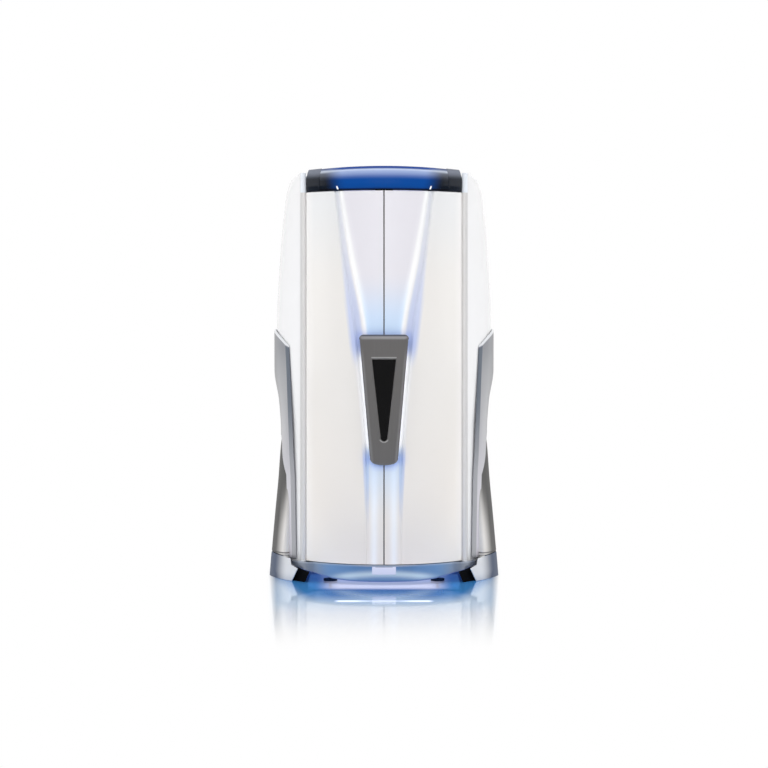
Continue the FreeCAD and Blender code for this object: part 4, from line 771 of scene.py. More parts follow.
PAINTS = {"door_white": door_paint, "armour_silver": armour_paint, "leg_silver": leg_paint,
          "foot_silver": boot_paint, "skirt_blue_silver": skirt_paint,
          "door_frame_aluminium": frame_paint, "lamp_glass": tube_glass,
          "visor_blue": visor_acrylic, "cap_dark": smoked_cap, "handle_metal": plate_metal,
          "lens_clear": lit_lens, "screen_black": screen_glass, "light_bar": light_tube}
PLAIN = {      # slot or own finish: maker, name, colour and the maker's other values
    "cover_white": (gloss_plastic, "cover_gloss", "cover_white", 0.24, 0.4),
    "frame_steel": (grained, "frame_powder_coat", (176, 178, 182), 0.5, 900.0, 0.15, 0.3),
    "tray_aluminium": (drawn_metal, "tray_reflector", (226, 228, 232), 0.16,
                       (6.0, 6.0, 300.0), 0.04),
    "roof_grey": (grained, "roof_powder_coat", (206, 208, 212), 0.55, 800.0, 0.2),
    "acrylic_clear": (clear_sheet, "clear_acrylic", (248, 250, 252), 0.02),
    "inset_black": (gloss_plastic, "inset_gloss", (8, 8, 9), 0.1, 0.3, 0.004),
    "black_plastic": (grained, "black_moulding", (18, 19, 22), 0.45, 700.0, 0.3),
    "rubber_black": (grained, "black_rubber", (10, 10, 12), 0.85, 1200.0, 0.3, 0.0, 0.08),
    "mat_grey": (grained, "studded_mat", (88, 92, 98), 0.75, 90.0, 1.0),
    "floor_aluminium": (drawn_metal, "floor_plate_metal", (190, 192, 196), 0.35,
                        (300.0, 6.0, 300.0)),
    "column_white": (gloss_plastic, "column_gloss", (232, 233, 236), 0.3, 0.3),
    "button_green": (gloss_plastic, "green_button", (44, 156, 84), 0.3, 0.3),
    "button_red": (gloss_plastic, "red_button", (196, 44, 48), 0.3, 0.3),
    "button_grey": (gloss_plastic, "grey_button", (150, 156, 164), 0.3, 0.3),
    "zinc_steel": (drawn_metal, "zinc_plated_steel", (196, 198, 200), 0.32,
                   (40.0, 40.0, 40.0), 0.12),
    "chrome": (drawn_metal, "chromed_tube", (230, 232, 236), 0.1, (20.0, 20.0, 20.0), 0.02),
    "ballast_grey": (grained, "ballast_can", (150, 152, 152), 0.5, 400.0, 0.15, 0.4),
    "hinge_heads": (gloss_plastic, "hinge_head_enamel", (238, 243, 250), 0.35, 0.1),
    # dark rubber painted blue, standing in for the blue light under the booth
    "levelling_pads": (grained, "levelling_pad_rubber", (20, 40, 70), 0.6, 900.0, 0.2, 0.0,
                       0.2),
}
FINISHED = {}


def finish_of(slot, colours):
    """The material of a slot or of a piece's own finish, made the first time it is asked for."""
    if slot not in FINISHED:
        if slot in PLAIN:
            maker, name, colour, *values = PLAIN[slot]
            colour = getattr(colours, colour) if isinstance(colour, str) else colour
            FINISHED[slot] = maker(name, colour, *values)
        else:
            FINISHED[slot] = PAINTS[slot](colours)
    return FINISHED[slot]


# ------------------------------------------------------------ forms
# A table named SIDE or EDGE holds heights, each with a radius or a distance from the middle
# plane; SKIRT_EDGE and VISOR_SIDE hold the distance aside or the rise first. Turns are degrees.
GROOVE = (      # above the door's lower edge: groove edge, outer and inner floor edge, ridge, depth
    (0.0, 0.104, 0.098, 0.090, 0.056, 0.004),
    (0.571, 0.108, 0.100, 0.090, 0.054, 0.010),
    (1.321, 0.173, 0.157, 0.133, 0.098, 0.014),
    (1.742, 0.241, 0.229, 0.209, 0.179, 0.0135),
    (2.132, 0.290, 0.281, 0.268, 0.246, 0.012))
SEAM = 0.0038      # half of the gap between the doors
DOOR_TURN = 43.7      # from the seam to the hinge edge
COVER_CORNER = (0.4868, 0.4307)      # aside and ahead
COVER_LOW, COVER_NECK, COVER_BROW, COVER_TOP = 0.100, 2.259, 2.345, 2.370
COVER_SIDE = ((0.100, 0.612), (0.848, 0.613), (1.029, 0.627), (1.240, 0.641), (1.480, 0.648),
              (1.632, 0.643), (1.813, 0.633), (1.994, 0.621), (2.114, 0.609), (2.259, 0.591),
              (2.320, 0.574), (2.345, 0.563), (2.361, 0.545), (2.370, 0.515))
WING_EDGE = ((0.125, 0.410), (0.603, 0.398), (0.725, 0.387), (0.850, 0.380), (1.100, 0.364),
             (1.361, 0.345))
WING_PEAK = 1.456      # top of the armour, over the middle of the side
WING_ARCH = ((0.125, 0.353), (0.603, 0.320), (0.785, 0.200))
WING_CROWN = 0.848      # top of the arch between the legs
WING_R = 0.661
WING_BEND = 0.3305      # where the drawn-in side begins, ahead of the middle
WING_CREST = 0.0115      # width of the painted highlight under the upper edge
WING_SIDE = ((0.100, 0.661), (0.603, 0.655), (0.848, 0.622), (1.029, 0.634), (1.210, 0.662),
             (1.460, 0.663))
LEG_LOW, LEG_HIGH = 0.126, 0.810
LEG_SIDE = ((0.126, 0.700), (0.165, 0.696), (0.200, 0.693), (0.380, 0.676), (0.559, 0.658),
            (0.738, 0.644), (0.827, 0.634))
LEG_TURNS = (57.0, 75.0)
LEG_ROOT = 0.612      # radius that the cover stands out from
LEG_LINE = (0.154, -0.0095)      # height at the front and rise round the leg
BOOT_TOP = (0.127, 0.013)
BOOT_SIDE = ((0.0, 0.717), (0.040, 0.7135), (0.090, 0.709), (0.127, 0.705))
BOOT_EDGE = ((0.0, 0.535), (0.0766, 0.500), (0.092, 0.540), (0.127, 0.546))
BOOT_TURN, BOOT_ROUND, BOOT_ROOT = 72.85, 0.026, 0.652      # rear corner, its round, inner end
BOOT_EDGE_ROUND, BLOCK_EDGE_ROUND = 0.002, 0.003
# the block's inner and outer x, radius, inner and outer height, at its foot and at its top
BLOCK_FOOT = np.array([0.4564, 0.545, 0.695, 0.0, 0.0])
BLOCK_TOP = np.array([0.4319, 0.509, 0.685, 0.056, 0.071])
BLOCK_BACK = (0.600, 0.615)
SKIRT_R, SKIRT_TOP = 0.648, 0.115
SKIRT_EDGE = ((0.0, 0.020), (0.150, 0.0205), (0.281, 0.029), (0.360, 0.044), (0.420, 0.058),
              (0.499, 0.0790), (0.540, 0.0960))
VISOR_TURN = 34.7
VISOR_SIDE = ((0.0, 0.650), (0.038, 0.654), (0.078, 0.653), (0.112, 0.643), (0.140, 0.626))
PLATE_R = 0.692
PLATE_BACK_R = 0.678
PLATE_ROUND = 0.024
PLATE_CORNER = (0.721, 0.0805)      # height and half width at the foot's corners
PLATE_HEAD = (1.430, 0.1425)      # and at the head
PLATE_FOOT = 0.688
PLATE_ROWS = (0.745, 1.400)      # between these heights the rows are level
INSET_EDGE = ((0.8445, 0.0195), (1.290, 0.069))
SPINE = np.array([(0.008, -0.6795), (0.048, -0.6775), (0.048, -0.6475), (0.008, -0.6493)])
SPINE_ENDS = (0.762, 1.378)
LAMP_CIRCLE = 0.540
DOOR_LAMPS, SIDE_LAMPS = (4.0, 40.0, 6), (54.0, 164.0, 12)      # first, last and number


def groove_at(height):
    """The groove's edge, floor edges, ridge and depth at heights above the door's edge."""
    rows = np.array(GROOVE)
    return [flowing(list(zip(rows[:, 0], rows[:, k])), height) for k in range(1, 6)]


def groove_depth(x, height):
    """How deep the skin is pressed in: the groove's depth, eased in from its outer edge and
    eased out again from its inner floor edge to the ridge."""
    edge, floor_out, floor_in, ridge, depth = groove_at(height)
    return depth * (fallen(x, edge, edge - floor_out) - fallen(x, floor_in, floor_in - ridge))


def door_points(wall):
    """The door skin at a depth of wall under its outer face: columns that follow the groove
    from the seam to the hinge edge, rows up the door, on the door's radius less the groove."""
    height = spaced(0.0, DOOR_HIGH - DOOR_LOW, 90)[:, None]
    edge, floor_out, floor_in, ridge, _ = groove_at(height)
    last = DOOR_R * math.sin(math.radians(DOOR_TURN))
    marks = [np.full_like(edge, SEAM), ridge - 0.02, ridge, floor_in, floor_out, edge,
             edge + 0.02, np.full_like(edge, last)]
    counts = (10, 4, 9, 5, 7, 4, 16)
    spans = [a + (b - a) * spaced(0.0, 1.0, n + 1)[None, :-1]
             for a, b, n in zip(marks, marks[1:], counts)]
    x = np.concatenate(spans + [marks[-1]], axis=1)
    phi = np.degrees(np.arcsin(x / DOOR_R))
    return polar(DOOR_R - groove_depth(x, height) - wall, phi, DOOR_LOW + height)


def plate_half_width(z):
    """Half of the pull plate's width: straight sides from the foot's corner to the top."""
    share = (z - PLATE_CORNER[0]) / (PLATE_HEAD[0] - PLATE_CORNER[0])
    return PLATE_CORNER[1] + (PLATE_HEAD[1] - PLATE_CORNER[1]) * np.clip(share, 0.0, 1.0)


def plate_foot(x):
    """Height of the pull plate's lower edge: a bowl that climbs with the square and, into
    rounded corners, the ninth power of the distance aside."""
    share = np.clip(np.abs(x) / PLATE_CORNER[1], 0.0, 1.0)
    return PLATE_FOOT + 0.014 * share ** 2 + 0.019 * share ** 9


# how the doors' painted light and shade fade: start or end and length, or a bell's middle and width
LIT_HEAD, LIT_FOOT = (PLATE_HEAD[0], 0.42), (0.74, 0.35)
RIDGE_DIM = (1.7, 0.4)
BESIDE_FOOT, BESIDE_HEAD = (0.71, 0.11), (1.36, 0.14)
RECESS_FOOT, PANEL_FOOT, HINGE_EDGE = (0.20, 0.48), (0.75, 0.5), (0.40, 0.05)
GLOW_HEAD, GLOW_FOOT, GLOW_SIDE = (1.80, 0.36), (0.35, 0.36), (0.115, 0.02)
HALO_HEAD, HALO_FOOT = (1.39, 0.075), (0.70, 0.055)
GLEAM_FOOT, GLEAM_HEAD = (0.74, 0.08), (1.36, 0.10)


def door_masks(piece):
    """Where the door is panel, and where its painted light and shade lie: the ridge's highlight,
    bluish light and shade in the groove, the lighter hinge edge, the pale glow above and below
    the pull plate, and the blue halo and the white gleam beside it, from each point's place on
    the door."""
    points = corners_of(piece)
    z = points[:, 2]
    x = DOOR_R * np.sin(np.radians(turned(points)))
    edge, _, floor_in, ridge, _ = groove_at(z - DOOR_LOW)
    rise = (x - ridge) / (floor_in - ridge)
    reach = (x - floor_in) / (edge - floor_in)
    near = bell(z, *LIT_HEAD) + bell(z, *LIT_FOOT)
    # painted highlight along the ridge, dimmer near the top
    mask(piece, "ridge", bell(rise, 0.05, 0.62) * (1.0 - 0.3 * risen(z, *RIDGE_DIM)))
    beside = risen(z, *BESIDE_FOOT) * fallen(z, *BESIDE_HEAD)
    # painted bluish light and shade in the groove, strongest near the pull plate's ends
    mask(piece, "recess", risen(reach, -0.4, 0.5) * fallen(reach, 1.0 + 0.9 * near, 0.6)
         * (0.22 + 0.78 * np.clip(near, 0.0, 1.0)) * (1.0 - 0.9 * beside)
         * risen(z, *RECESS_FOOT))
    mask(piece, "panel", fallen(x, ridge, 0.02) * risen(z, *PANEL_FOOT))
    # painted light: the hinge edge made lighter against its shade
    mask(piece, "edge", risen(x, *HINGE_EDGE))
    above = fallen(x, ridge + 0.01, 0.02) * fallen(z, *GLOW_HEAD) * (z > PLATE_ROWS[1])
    below = fallen(x, *GLOW_SIDE) * risen(z, *GLOW_FOOT) * (z < 0.80)
    mask(piece, "glow", 0.85 * above + 0.6 * below)
    half = plate_half_width(np.clip(z, 0.70, PLATE_HEAD[0]))
    side = np.clip(x - half, 0.0, None)
    over = np.clip(z - PLATE_HEAD[0], 0.0, None)
    under = np.clip(plate_foot(x) - z, 0.0, None)
    distance = np.sqrt(side ** 2 + over ** 2 + under ** 2)
    mask(piece, "halo", bell(distance, 0.0, 0.034)
         * (0.40 * bell(z, *HALO_HEAD) + 0.58 * bell(z, *HALO_FOOT)))
    mask(piece, "gleam", bell(side, 0.0, 0.020) * risen(z, *GLEAM_FOOT)
         * fallen(z, *GLEAM_HEAD) * (x > half - 0.02))


def arc_radius(half_chord, sag):
    """Radius of the arc over a chord that it leaves by a sag: by Pythagoras, half the chord
    squared plus the sag squared, over twice the sag."""
    return (half_chord ** 2 + sag ** 2) / (2.0 * sag)


def plan_arc(corner_x, corner_y, half_width, share):
    """Points on the circle through the front corner, the side's widest point and the rear
    corner; share runs from -1 at the front to 1 at the rear."""
    radius = arc_radius(corner_y, half_width - corner_x)
    turn = np.arcsin(np.clip(corner_y / radius, -1.0, 1.0)) * share
    return half_width - radius + radius * np.cos(turn), radius * np.sin(turn)


def cover_points(wall):
    """The side cover at a depth of wall under its outer face: plan arcs whose half width
    follows the side's curve, closed over the top by arcs that draw in to the hinge strip."""
    z = np.concatenate([spaced(COVER_LOW, COVER_NECK, 66), spaced(2.270, COVER_BROW, 12),
                        COVER_BROW + 0.025 * np.sin(np.radians(spaced(8.0, 90.0, 12)))])
    width = np.concatenate([flowing(COVER_SIDE, z), spaced(0.505, 0.4878, 4)])[:, None]
    z = np.concatenate([z, np.full(4, COVER_TOP)])[:, None]
    shrink = 1.0 - wall / DOOR_R
    x, y = plan_arc(COVER_CORNER[0] * shrink, COVER_CORNER[1] * shrink, width - wall,
                    spaced(-1.0, 1.0, 49)[None, :])
    sink = wall * np.clip(1.0 - (COVER_TOP - z) / 0.060, 0.0, 1.0)
    return np.stack(np.broadcast_arrays(x, y, z - sink), axis=-1)


def wing_plan(y, z):
    """Distance of the armour from the middle plane: the armour's circle in front of the bend,
    and behind it an arc through the drawn-in side."""
    side = flowing(WING_SIDE, z)
    radius = arc_radius(WING_BEND, side - math.sqrt(WING_R ** 2 - WING_BEND ** 2))
    waist = side - radius + np.sqrt(np.clip(radius ** 2 - y ** 2, 0.0, None))
    return np.where(np.abs(y) > WING_BEND, np.sqrt(WING_R ** 2 - y ** 2), waist)


def wing_top(y):
    """The armour's upper edge: an arc over the two shoulders and the peak."""
    shoulder_z, shoulder_y = WING_EDGE[-1]
    radius = arc_radius(shoulder_y, WING_PEAK - shoulder_z)
    reach = np.clip(np.abs(y), 0.0, shoulder_y)
    return WING_PEAK - radius + np.sqrt(radius ** 2 - reach ** 2)


def wing_points(depth, facet, facet_depth):
    """The front half of one side's armour. Rows climb from the foot to the arch's crown and
    on to the upper edge; columns run from the front edge to the arch, or above it to the
    middle. The outer face drops to its edges by facets; the inner face lies at one depth."""
    arch_z, arch_y = WING_ARCH[-1]
    radius = arc_radius(arch_y, WING_CROWN - arch_z)
    first = math.asin((arch_z - WING_CROWN + radius) / radius)
    turns = spaced(first, 0.5 * math.pi, 15)[1:]
    legs = stations(*(z for z, _ in WING_ARCH), steps=12)
    z_low = np.concatenate([legs, WING_CROWN - radius + radius * np.sin(turns)])
    arch = np.concatenate([np.interp(legs, *np.array(WING_ARCH).T), radius * np.cos(turns)])
    climb = np.concatenate([spaced(0.0, 0.96, 26)[1:], [0.972, 0.981, 0.985, 0.992, 1.0]])
    z_line = np.concatenate([z_low, WING_CROWN + climb * (WING_EDGE[-1][0] - WING_CROWN)])
    arch = np.concatenate([arch, np.zeros(len(climb))])[:, None]
    front = np.interp(z_line, *np.array(WING_EDGE).T)[:, None]
    span = front - arch
    near = np.array([0.0, 0.004, facet - 0.0008, facet + 0.0008])[None, :]
    rest = (facet + 0.004) + (span - 0.012 - facet) * spaced(0.0, 1.0, 16)[None, :]
    tail = span - np.array([0.0075, 0.0035, 0.0])[None, :]
    along = np.concatenate([near + 0.0 * span, rest, tail], axis=1)
    y = along - front
    share = np.concatenate([np.zeros(len(z_low)), climb])[:, None]
    z = np.where(share > 0.0, WING_CROWN + share * (wing_top(y) - WING_CROWN),
                 z_line[:, None])
    x = wing_plan(y, z)
    over = np.where(share > 0.0, z - z_line[:, None] + 1.0, span - along)
    drop = np.maximum.reduce([facet_depth * (1.0 - along / facet),
                              0.005 * (1.0 - (wing_top(y) - z) / 0.011),
                              0.004 * (1.0 - over / 0.008), np.zeros_like(along)])
    reach = np.hypot(x, y) - (drop if depth == 0.0 else depth)
    return polar(reach, np.degrees(np.arctan2(x, -y)), z)


def leg_points(wall):
    """A leg cover: a channel whose radius follows the flare, with a line pressed round its
    foot. Across it, the cosine and sine of half a turn raised to two sevenths give a rounded
    rectangle between two angles."""
    z = np.concatenate([spaced(LEG_LOW, 0.165, 40), spaced(0.170, LEG_HIGH, 44)])[:, None]
    turn = spaced(-0.5 * math.pi, 0.5 * math.pi, 41)[None, :]
    across = np.sign(np.sin(turn)) * np.abs(np.sin(turn)) ** (2.0 / 7.0)
    out = np.clip(np.cos(turn), 0.0, None) ** (2.0 / 7.0)
    middle, half = 0.5 * (LEG_TURNS[0] + LEG_TURNS[1]), 0.5 * (LEG_TURNS[1] - LEG_TURNS[0])
    phi = middle + (half - math.degrees(wall / DOOR_R)) * across
    reach = LEG_ROOT + (flowing(LEG_SIDE, z) - wall - LEG_ROOT) * out
    low = level_round_leg(BOOT_TOP, phi) + 0.002
    rise = low + (z - LEG_LOW) * (LEG_HIGH - low) / (LEG_HIGH - LEG_LOW)
    line = bell(rise, level_round_leg(LEG_LINE, phi), 0.0022)
    return polar(reach - (0.003 * line if wall == 0.0 else 0.0), phi, rise)


def level_round_leg(line, phi):
    """Height of a line that starts at a front height and rises or falls evenly round the
    leg, given as that height and the rise."""
    return line[0] + line[1] * np.clip((phi - 48.0) / 23.0, 0.0, 1.0)


def boot_points(wall):
    """A boot: a flared wall from its slanted front edge, which is notched over the toe, round
    a rounded rear corner and back in to the cover."""
    z = np.concatenate([spaced(0.0, 0.0766, 15), [0.080, 0.084, 0.088, 0.092],
                        spaced(0.096, 0.127, 8)])[:, None]
    radius = flowing(BOOT_SIDE, z)
    first = np.degrees(np.arcsin(np.interp(z, *np.array(BOOT_EDGE).T) / radius))
    last = BOOT_TURN - math.degrees(wall / DOOR_R)
    turn = spaced(0.0, 0.5 * math.pi, 13)[None, :]
    face = first + (last - 2.2 - first) * spaced(0.0, 1.0, 30)[None, :-1]
    level = 0.0 * first
    corner = last - 2.2 + 2.2 * np.sin(turn) + level
    back = np.full(5, last)[None, :] + level
    phi = np.concatenate([face, corner, back], axis=1)
    round_off = BOOT_ROUND * (1.0 - np.cos(turn)) + level
    deep = BOOT_ROUND + (radius - BOOT_ROUND - BOOT_ROOT) * spaced(0.0, 1.0, 6)[None, 1:]
    inward = np.concatenate([0.0 * face, round_off, deep], axis=1)
    rise = z * level_round_leg(BOOT_TOP, phi) / BOOT_TOP[0]
    return polar(radius - wall - inward + wall * inward / (radius - BOOT_ROOT), phi, rise)


def block_ring(share):
    """One section of the dark block beside a boot: even steps from its foot to its slanted
    top, between an outer radius and a radius behind each side."""
    x_in, x_out, radius, z_in, z_out = BLOCK_FOOT + share * (BLOCK_TOP - BLOCK_FOOT)
    rim = [(x_in, z_in, radius), (x_out, z_out, radius), (x_out, z_out, BLOCK_BACK[1]),
           (x_in, z_in, BLOCK_BACK[0])]
    return [(x, -math.sqrt(reach * reach - x * x), z) for x, z, reach in rim]


def skirt_low(x):
    """Height of the skirt's curved lower edge."""
    return flowing(SKIRT_EDGE, np.abs(x))


def skirt_points(wall):
    """The skirt: a curved sheet up from its smiling lower edge, turned in under the doors."""
    phi = spaced(-51.4, 51.4, 113)[None, :]
    skirt_r = SKIRT_R + 0.030 * risen(np.abs(phi), 37.0, 6.5)
    low = skirt_low(skirt_r * np.sin(np.radians(phi)))
    share = np.concatenate([spaced(0.0, 0.9, 16), [0.94, 0.97, 1.0]])[:, None]
    up = low + share * (SKIRT_TOP - low)
    flange = np.array([0.04, 0.5, 1.0])[:, None] * np.where(np.abs(phi) < 41.0, 0.071, 0.006)
    radius = np.concatenate([skirt_r - wall + 0.0 * up, skirt_r - wall - flange])
    z = np.concatenate([up - 0.8 * wall * (share > 0.93), SKIRT_TOP - 0.8 * wall + 0.0 * flange])
    return polar(radius, phi, z)


def visor_top(phi):
    """Height of the visor's upper edge, which falls with the square of the distance aside."""
    return VISOR_HIGH - 0.010 * (DOOR_R * np.sin(np.radians(phi)) / 0.371) ** 2


def visor_points(wall):
    """The visor at a depth of wall under its outer face: the profile carried round the front."""
    phi = spaced(-VISOR_TURN, VISOR_TURN, 73)[None, :]
    share = np.concatenate([spaced(0.0, 0.9, 26), [0.93, 0.955, 0.975, 0.99, 1.0]])[:, None]
    rise = share * (visor_top(phi) - VISOR_LOW)
    return polar(flowing(VISOR_SIDE, rise) - wall, phi, VISOR_LOW + rise)


def inset_half_width(z):
    """Half of the dark inset's width: straight sides down to a half-round foot."""
    (low, foot), (high, head) = INSET_EDGE
    straight = foot + (head - foot) * np.clip((z - low) / (high - low), 0.0, 1.0)
    round_end = np.sqrt(np.clip(foot ** 2 - (low - z) ** 2, 0.0, None))
    return np.where(z < low, round_end, straight)


def plate_points(back, bevel, bevel_depth):
    """The pull plate's face, or its back: rows from the rounded foot past the inset to the
    rounded top corners, columns from side to side that follow the recess. The face falls in a
    quarter ellipse at the outline and sinks inside the inset's edge."""
    low, foot = INSET_EDGE[0]
    first, last = PLATE_ROWS
    lip = 0.005
    turns = spaced(0.0, 0.5 * math.pi, 9)[:-1]
    centre = np.unique(np.round(np.concatenate([
        spaced(first, low - foot - lip - 0.004, 4), low - (foot + lip) * np.cos(turns),
        spaced(low, 1.2885, 22), [1.2900, 1.2955], spaced(1.305, last, 5)]), 6))
    rows_low = np.array([0.0, 0.03, 0.08, 0.11, 0.3, 0.6])
    rows_high = np.array([0.3, 0.6, 0.78, 0.85, 0.95, 1.0])
    z_row = np.concatenate([np.full(len(rows_low), PLATE_CORNER[0]), centre,
                            last + rows_high * 0.030])[:, None]
    half = plate_half_width(z_row)
    edge = np.maximum(inset_half_width(z_row) - 0.0004, 0.002)
    round_lip = np.sqrt(np.clip((foot + lip) ** 2 - (low - z_row) ** 2, 0.0, None))
    outer_edge = np.maximum(np.where(z_row < low, round_lip, 0.0), edge + 0.0015)
    half_row = np.concatenate([
        spaced(0.0, 1.0, 5)[None, 1:] * edge,
        outer_edge,
        outer_edge + (half - bevel - outer_edge) * spaced(0.0, 1.0, 8)[None, 1:],
        half - bevel * np.array([0.75, 0.5, 0.28, 0.12, 0.03, 0.0])[None, :]], axis=1)
    x = np.concatenate([-half_row[:, ::-1], np.zeros_like(half), half_row], axis=1)
    foot_z = plate_foot(x)
    corner = np.clip(np.abs(x) - (half - PLATE_ROUND), 0.0, PLATE_ROUND)
    top_z = PLATE_HEAD[0] - PLATE_ROUND + np.sqrt(PLATE_ROUND ** 2 - corner ** 2)
    share_low = np.concatenate([rows_low, np.ones(len(centre) + len(rows_high))])[:, None]
    share_high = np.concatenate([np.zeros(len(rows_low) + len(centre)), rows_high])[:, None]
    z = np.where(share_low < 1.0, foot_z + share_low * (first - foot_z),
                 np.where(share_high > 0.0, last + share_high * (top_z - last), z_row))
    gap = np.minimum.reduce([half - np.abs(x), z - foot_z, top_z - z])
    drop = bevel_depth * (1.0 - np.sqrt(1.0 - np.clip(1.0 - gap / bevel, 0.0, 1.0) ** 2))
    sink = (np.clip((z - (low - foot - lip)) / lip, 0.0, 1.0)
            * np.clip((1.2955 - z) / 0.0055, 0.0, 1.0) * (np.abs(x) <= edge + 1e-6))
    radius = PLATE_BACK_R if back else PLATE_R - drop - 0.004 * sink
    return polar(radius, np.degrees(np.arcsin(x / PLATE_R)), z)


def inset_points(back):
    """The dark inset: a thin curved sheet just under the plate's face."""
    low, foot = INSET_EDGE[0]
    turns = spaced(0.06, 0.5 * math.pi, 9)[:-1]
    z = np.concatenate([low - foot * np.cos(turns), spaced(low, 1.2880, 24)])[:, None]
    half = np.maximum(inset_half_width(z) - 0.0012, 0.001)
    across = np.array([-1.0, -0.97, -0.9, -0.6, -0.3, 0.0, 0.3, 0.6, 0.9, 0.97, 1.0])[None, :]
    x = half * across
    drop = np.where(np.abs(across) > 0.99, 0.0008, 0.0) + 0.0 * z
    radius = PLATE_R - 0.0039 if back else PLATE_R - 0.0012 - drop
    return polar(radius, np.degrees(np.arcsin(x / PLATE_R)), z)


def lamp_points(places, cap):
    """Lamp tubes: the tube's profile, with its narrower metal end caps, turned round each
    lamp's place."""
    profile = np.array([(0.0, 0.0125), (0.0008, 0.0160), (0.0025, 0.0176),
                        (cap - 0.001, 0.0178), (cap, 0.0172), (cap + 0.004, 0.0180),
                        (cap + 0.010, 0.0190)])
    heights = np.concatenate([LAMP_LOW + profile[:, 0], LAMP_HIGH - profile[::-1, 0]])
    radii = np.concatenate([profile[:, 1], profile[::-1, 1]])
    turn = np.radians(spaced(0.0, 360.0, 21)[:-1])
    ring = np.stack(np.broadcast_arrays(radii[:, None] * np.cos(turn),
                                        radii[:, None] * np.sin(turn), heights[:, None]), axis=-1)
    return ring + places[:, None, None, :]


# ------------------------------------------------------------ settings in the sidebar
def length(name, description, default):
    """A length in metres for the sidebar."""
    return FloatProperty(name=name, description=description, default=default, min=0.0,
                         unit="LENGTH", subtype="DISTANCE")


def amount(name, description, default, unit="NONE", low=0.0, high=1000.0):
    """A plain value or a power for the sidebar."""
    return FloatProperty(name=name, description=description, default=default, min=low,
                         max=high, unit=unit)


def hue(name, description, *screen):
    """A colour for the sidebar, from its screen values."""
    return FloatVectorProperty(name=name, description=description, default=tint(*screen),
                               size=3, min=0.0, max=1.0, subtype="COLOR")


class BoothSizes(PropertyGroup):
    """Walls, bevels and edges that the surfaces are made with."""
    skin: length("Skin", "Wall of the moulded doors and covers", 0.004)
    edge_round: length("Edge rounding", "Rounding of the moulded edges", 0.0014)
    armour_wall: length("Armour wall", "Thickness of the side armour", 0.010)
    armour_facet: length("Armour facet", "Width of the armour's edge facet", 0.027)
    armour_facet_depth: length("Facet depth", "How far the facet falls to the edge", 0.0075)
    plate_bevel: length("Plate bevel", "Width of the pull plate's bevel", 0.013)
    plate_bevel_depth: length("Plate bevel depth", "Depth of the plate's bevel", 0.007)
    lamp_cap: length("Lamp cap", "Length of a lamp's metal end cap", 0.028)
    part_round: length("Part rounding", "Rounding of small moulded parts", 0.0012)


class BoothColours(PropertyGroup):
    """Paint, acrylic and light colours."""
    door_white: hue("Door", "Doors beside the groove", 240, 237, 233)
    panel_lavender: hue("Door panel", "Door between the grooves", 232, 230, 236)
    # painted bluish light and shade in the doors' pressed groove
    groove_lavender: hue("Groove", "Pressed groove of the doors", 205, 214, 242)
    glow_pale: hue("Pale glow", "Light beside the pull plate", 186, 214, 244)
    glow_blue: hue("Blue glow", "Light at the pull plate's ends", 104, 144, 228)
    cover_white: hue("Covers", "Side covers", 247, 247, 248)
    hinge_grey: hue("Hinge tubes", "Door frames and hinge tubes", 234, 232, 231)
    armour_silver: hue("Armour", "Face of the side armour", 166, 167, 171)
    armour_slate: hue("Armour edge", "Edge facets of the armour", 104, 112, 124)
    leg_silver: hue("Legs", "Leg covers beside the armour", 246, 243, 240)
    # painted shade round the outside of the legs
    leg_grey: hue("Leg shade", "Leg covers round the outside", 72, 71, 70)
    boot_silver: hue("Boots", "Feet towards the front", 224, 226, 230)
    # painted shade round the outside of the boots
    boot_blue: hue("Boot shade", "Feet round the outside", 60, 76, 104)
    # the skirt's blue is a painted reflection of the blue light beneath
    skirt_blue: hue("Skirt", "Skirt under the doors", 108, 152, 200)
    # painted highlight band of the skirt
    skirt_light: hue("Skirt band", "Light band of the skirt", 222, 244, 255)
    visor_blue: hue("Visor", "Middle of the canopy visor", 5, 70, 148)
    cap_slate: hue("Canopy ends", "Ends of the canopy", 14, 22, 34)
    plate_grey: hue("Pull plate", "Pull plate's metal", 118, 116, 115)
    lamp_white: hue("Lamps", "Coated lamp glass", 238, 238, 246)
    floor_blue: hue("Floor glow", "Pool of light in front of the skirt", 46, 106, 184)


class BoothStage(PropertyGroup):
    """Camera, floor and lights."""
    camera_distance: length("Camera distance", "Camera in front of the axis", 11.0)
    camera_height: length("Camera height", "Camera above the floor", 1.524)
    focal_length: amount("Focal length", "Lens in millimetres on a 36 mm sensor", 85.17,
                         low=10.0)
    shift: amount("Lens shift", "Upward shift of the frame", -0.0859, low=-1.0, high=1.0)
    ambient: amount("Ambient", "Light from all round", 0.55)
    key_watts: amount("Key light", "Power of the front light", 155.0, "POWER")
    fill_watts: amount("Fill lights", "Power of each side light", 85.0, "POWER")
    top_watts: amount("Overhead light", "Power of the light above", 215.0, "POWER")
    front_dim: amount("Front reflection", "How bright the room in front is in reflections",
                      0.14, high=1.0)
    glow_watts: amount("Under the booth", "Power of the blue light under the booth", 0.55,
                       "POWER")


def settings(context):
    """The three groups of settings."""
    scene = context.scene
    return scene.booth_sizes, scene.booth_colours, scene.booth_stage


# ------------------------------------------------------------ light on the floor
# metres aside of the middle or in front of the axis, where each patch fades in or out
NEAR_SIDE, NEAR_FRONT = (0.58, 0.72), (-0.60, -0.30)
POOL_SIDE, POOL_FRONT = (0.65, 0.78), (0.92, 1.34)
WHITE_SIDE, WHITE_FRONT = (0.24, 0.40), (0.70, 0.84)
# a pale and a bluish glow of painted light near the booth
PALE_GLOW_FRONT, BLUE_GLOW_FRONT = (1.6, 2.6), (1.26, 1.70)
# the bright line: a painted reflection of a bright edge low on the booth
LINE_SIDE, LINE_MIDDLE = (0.235, 0.275), (0.06, 0.18)
LINE_FRONT = (1.175, 1.205, 1.235, 1.265)
ROOM_SIDE, ROOM_AHEAD, ROOM_FRONT = (0.655, 0.715), (1.30, 2.70), (-2.2, -1.0)


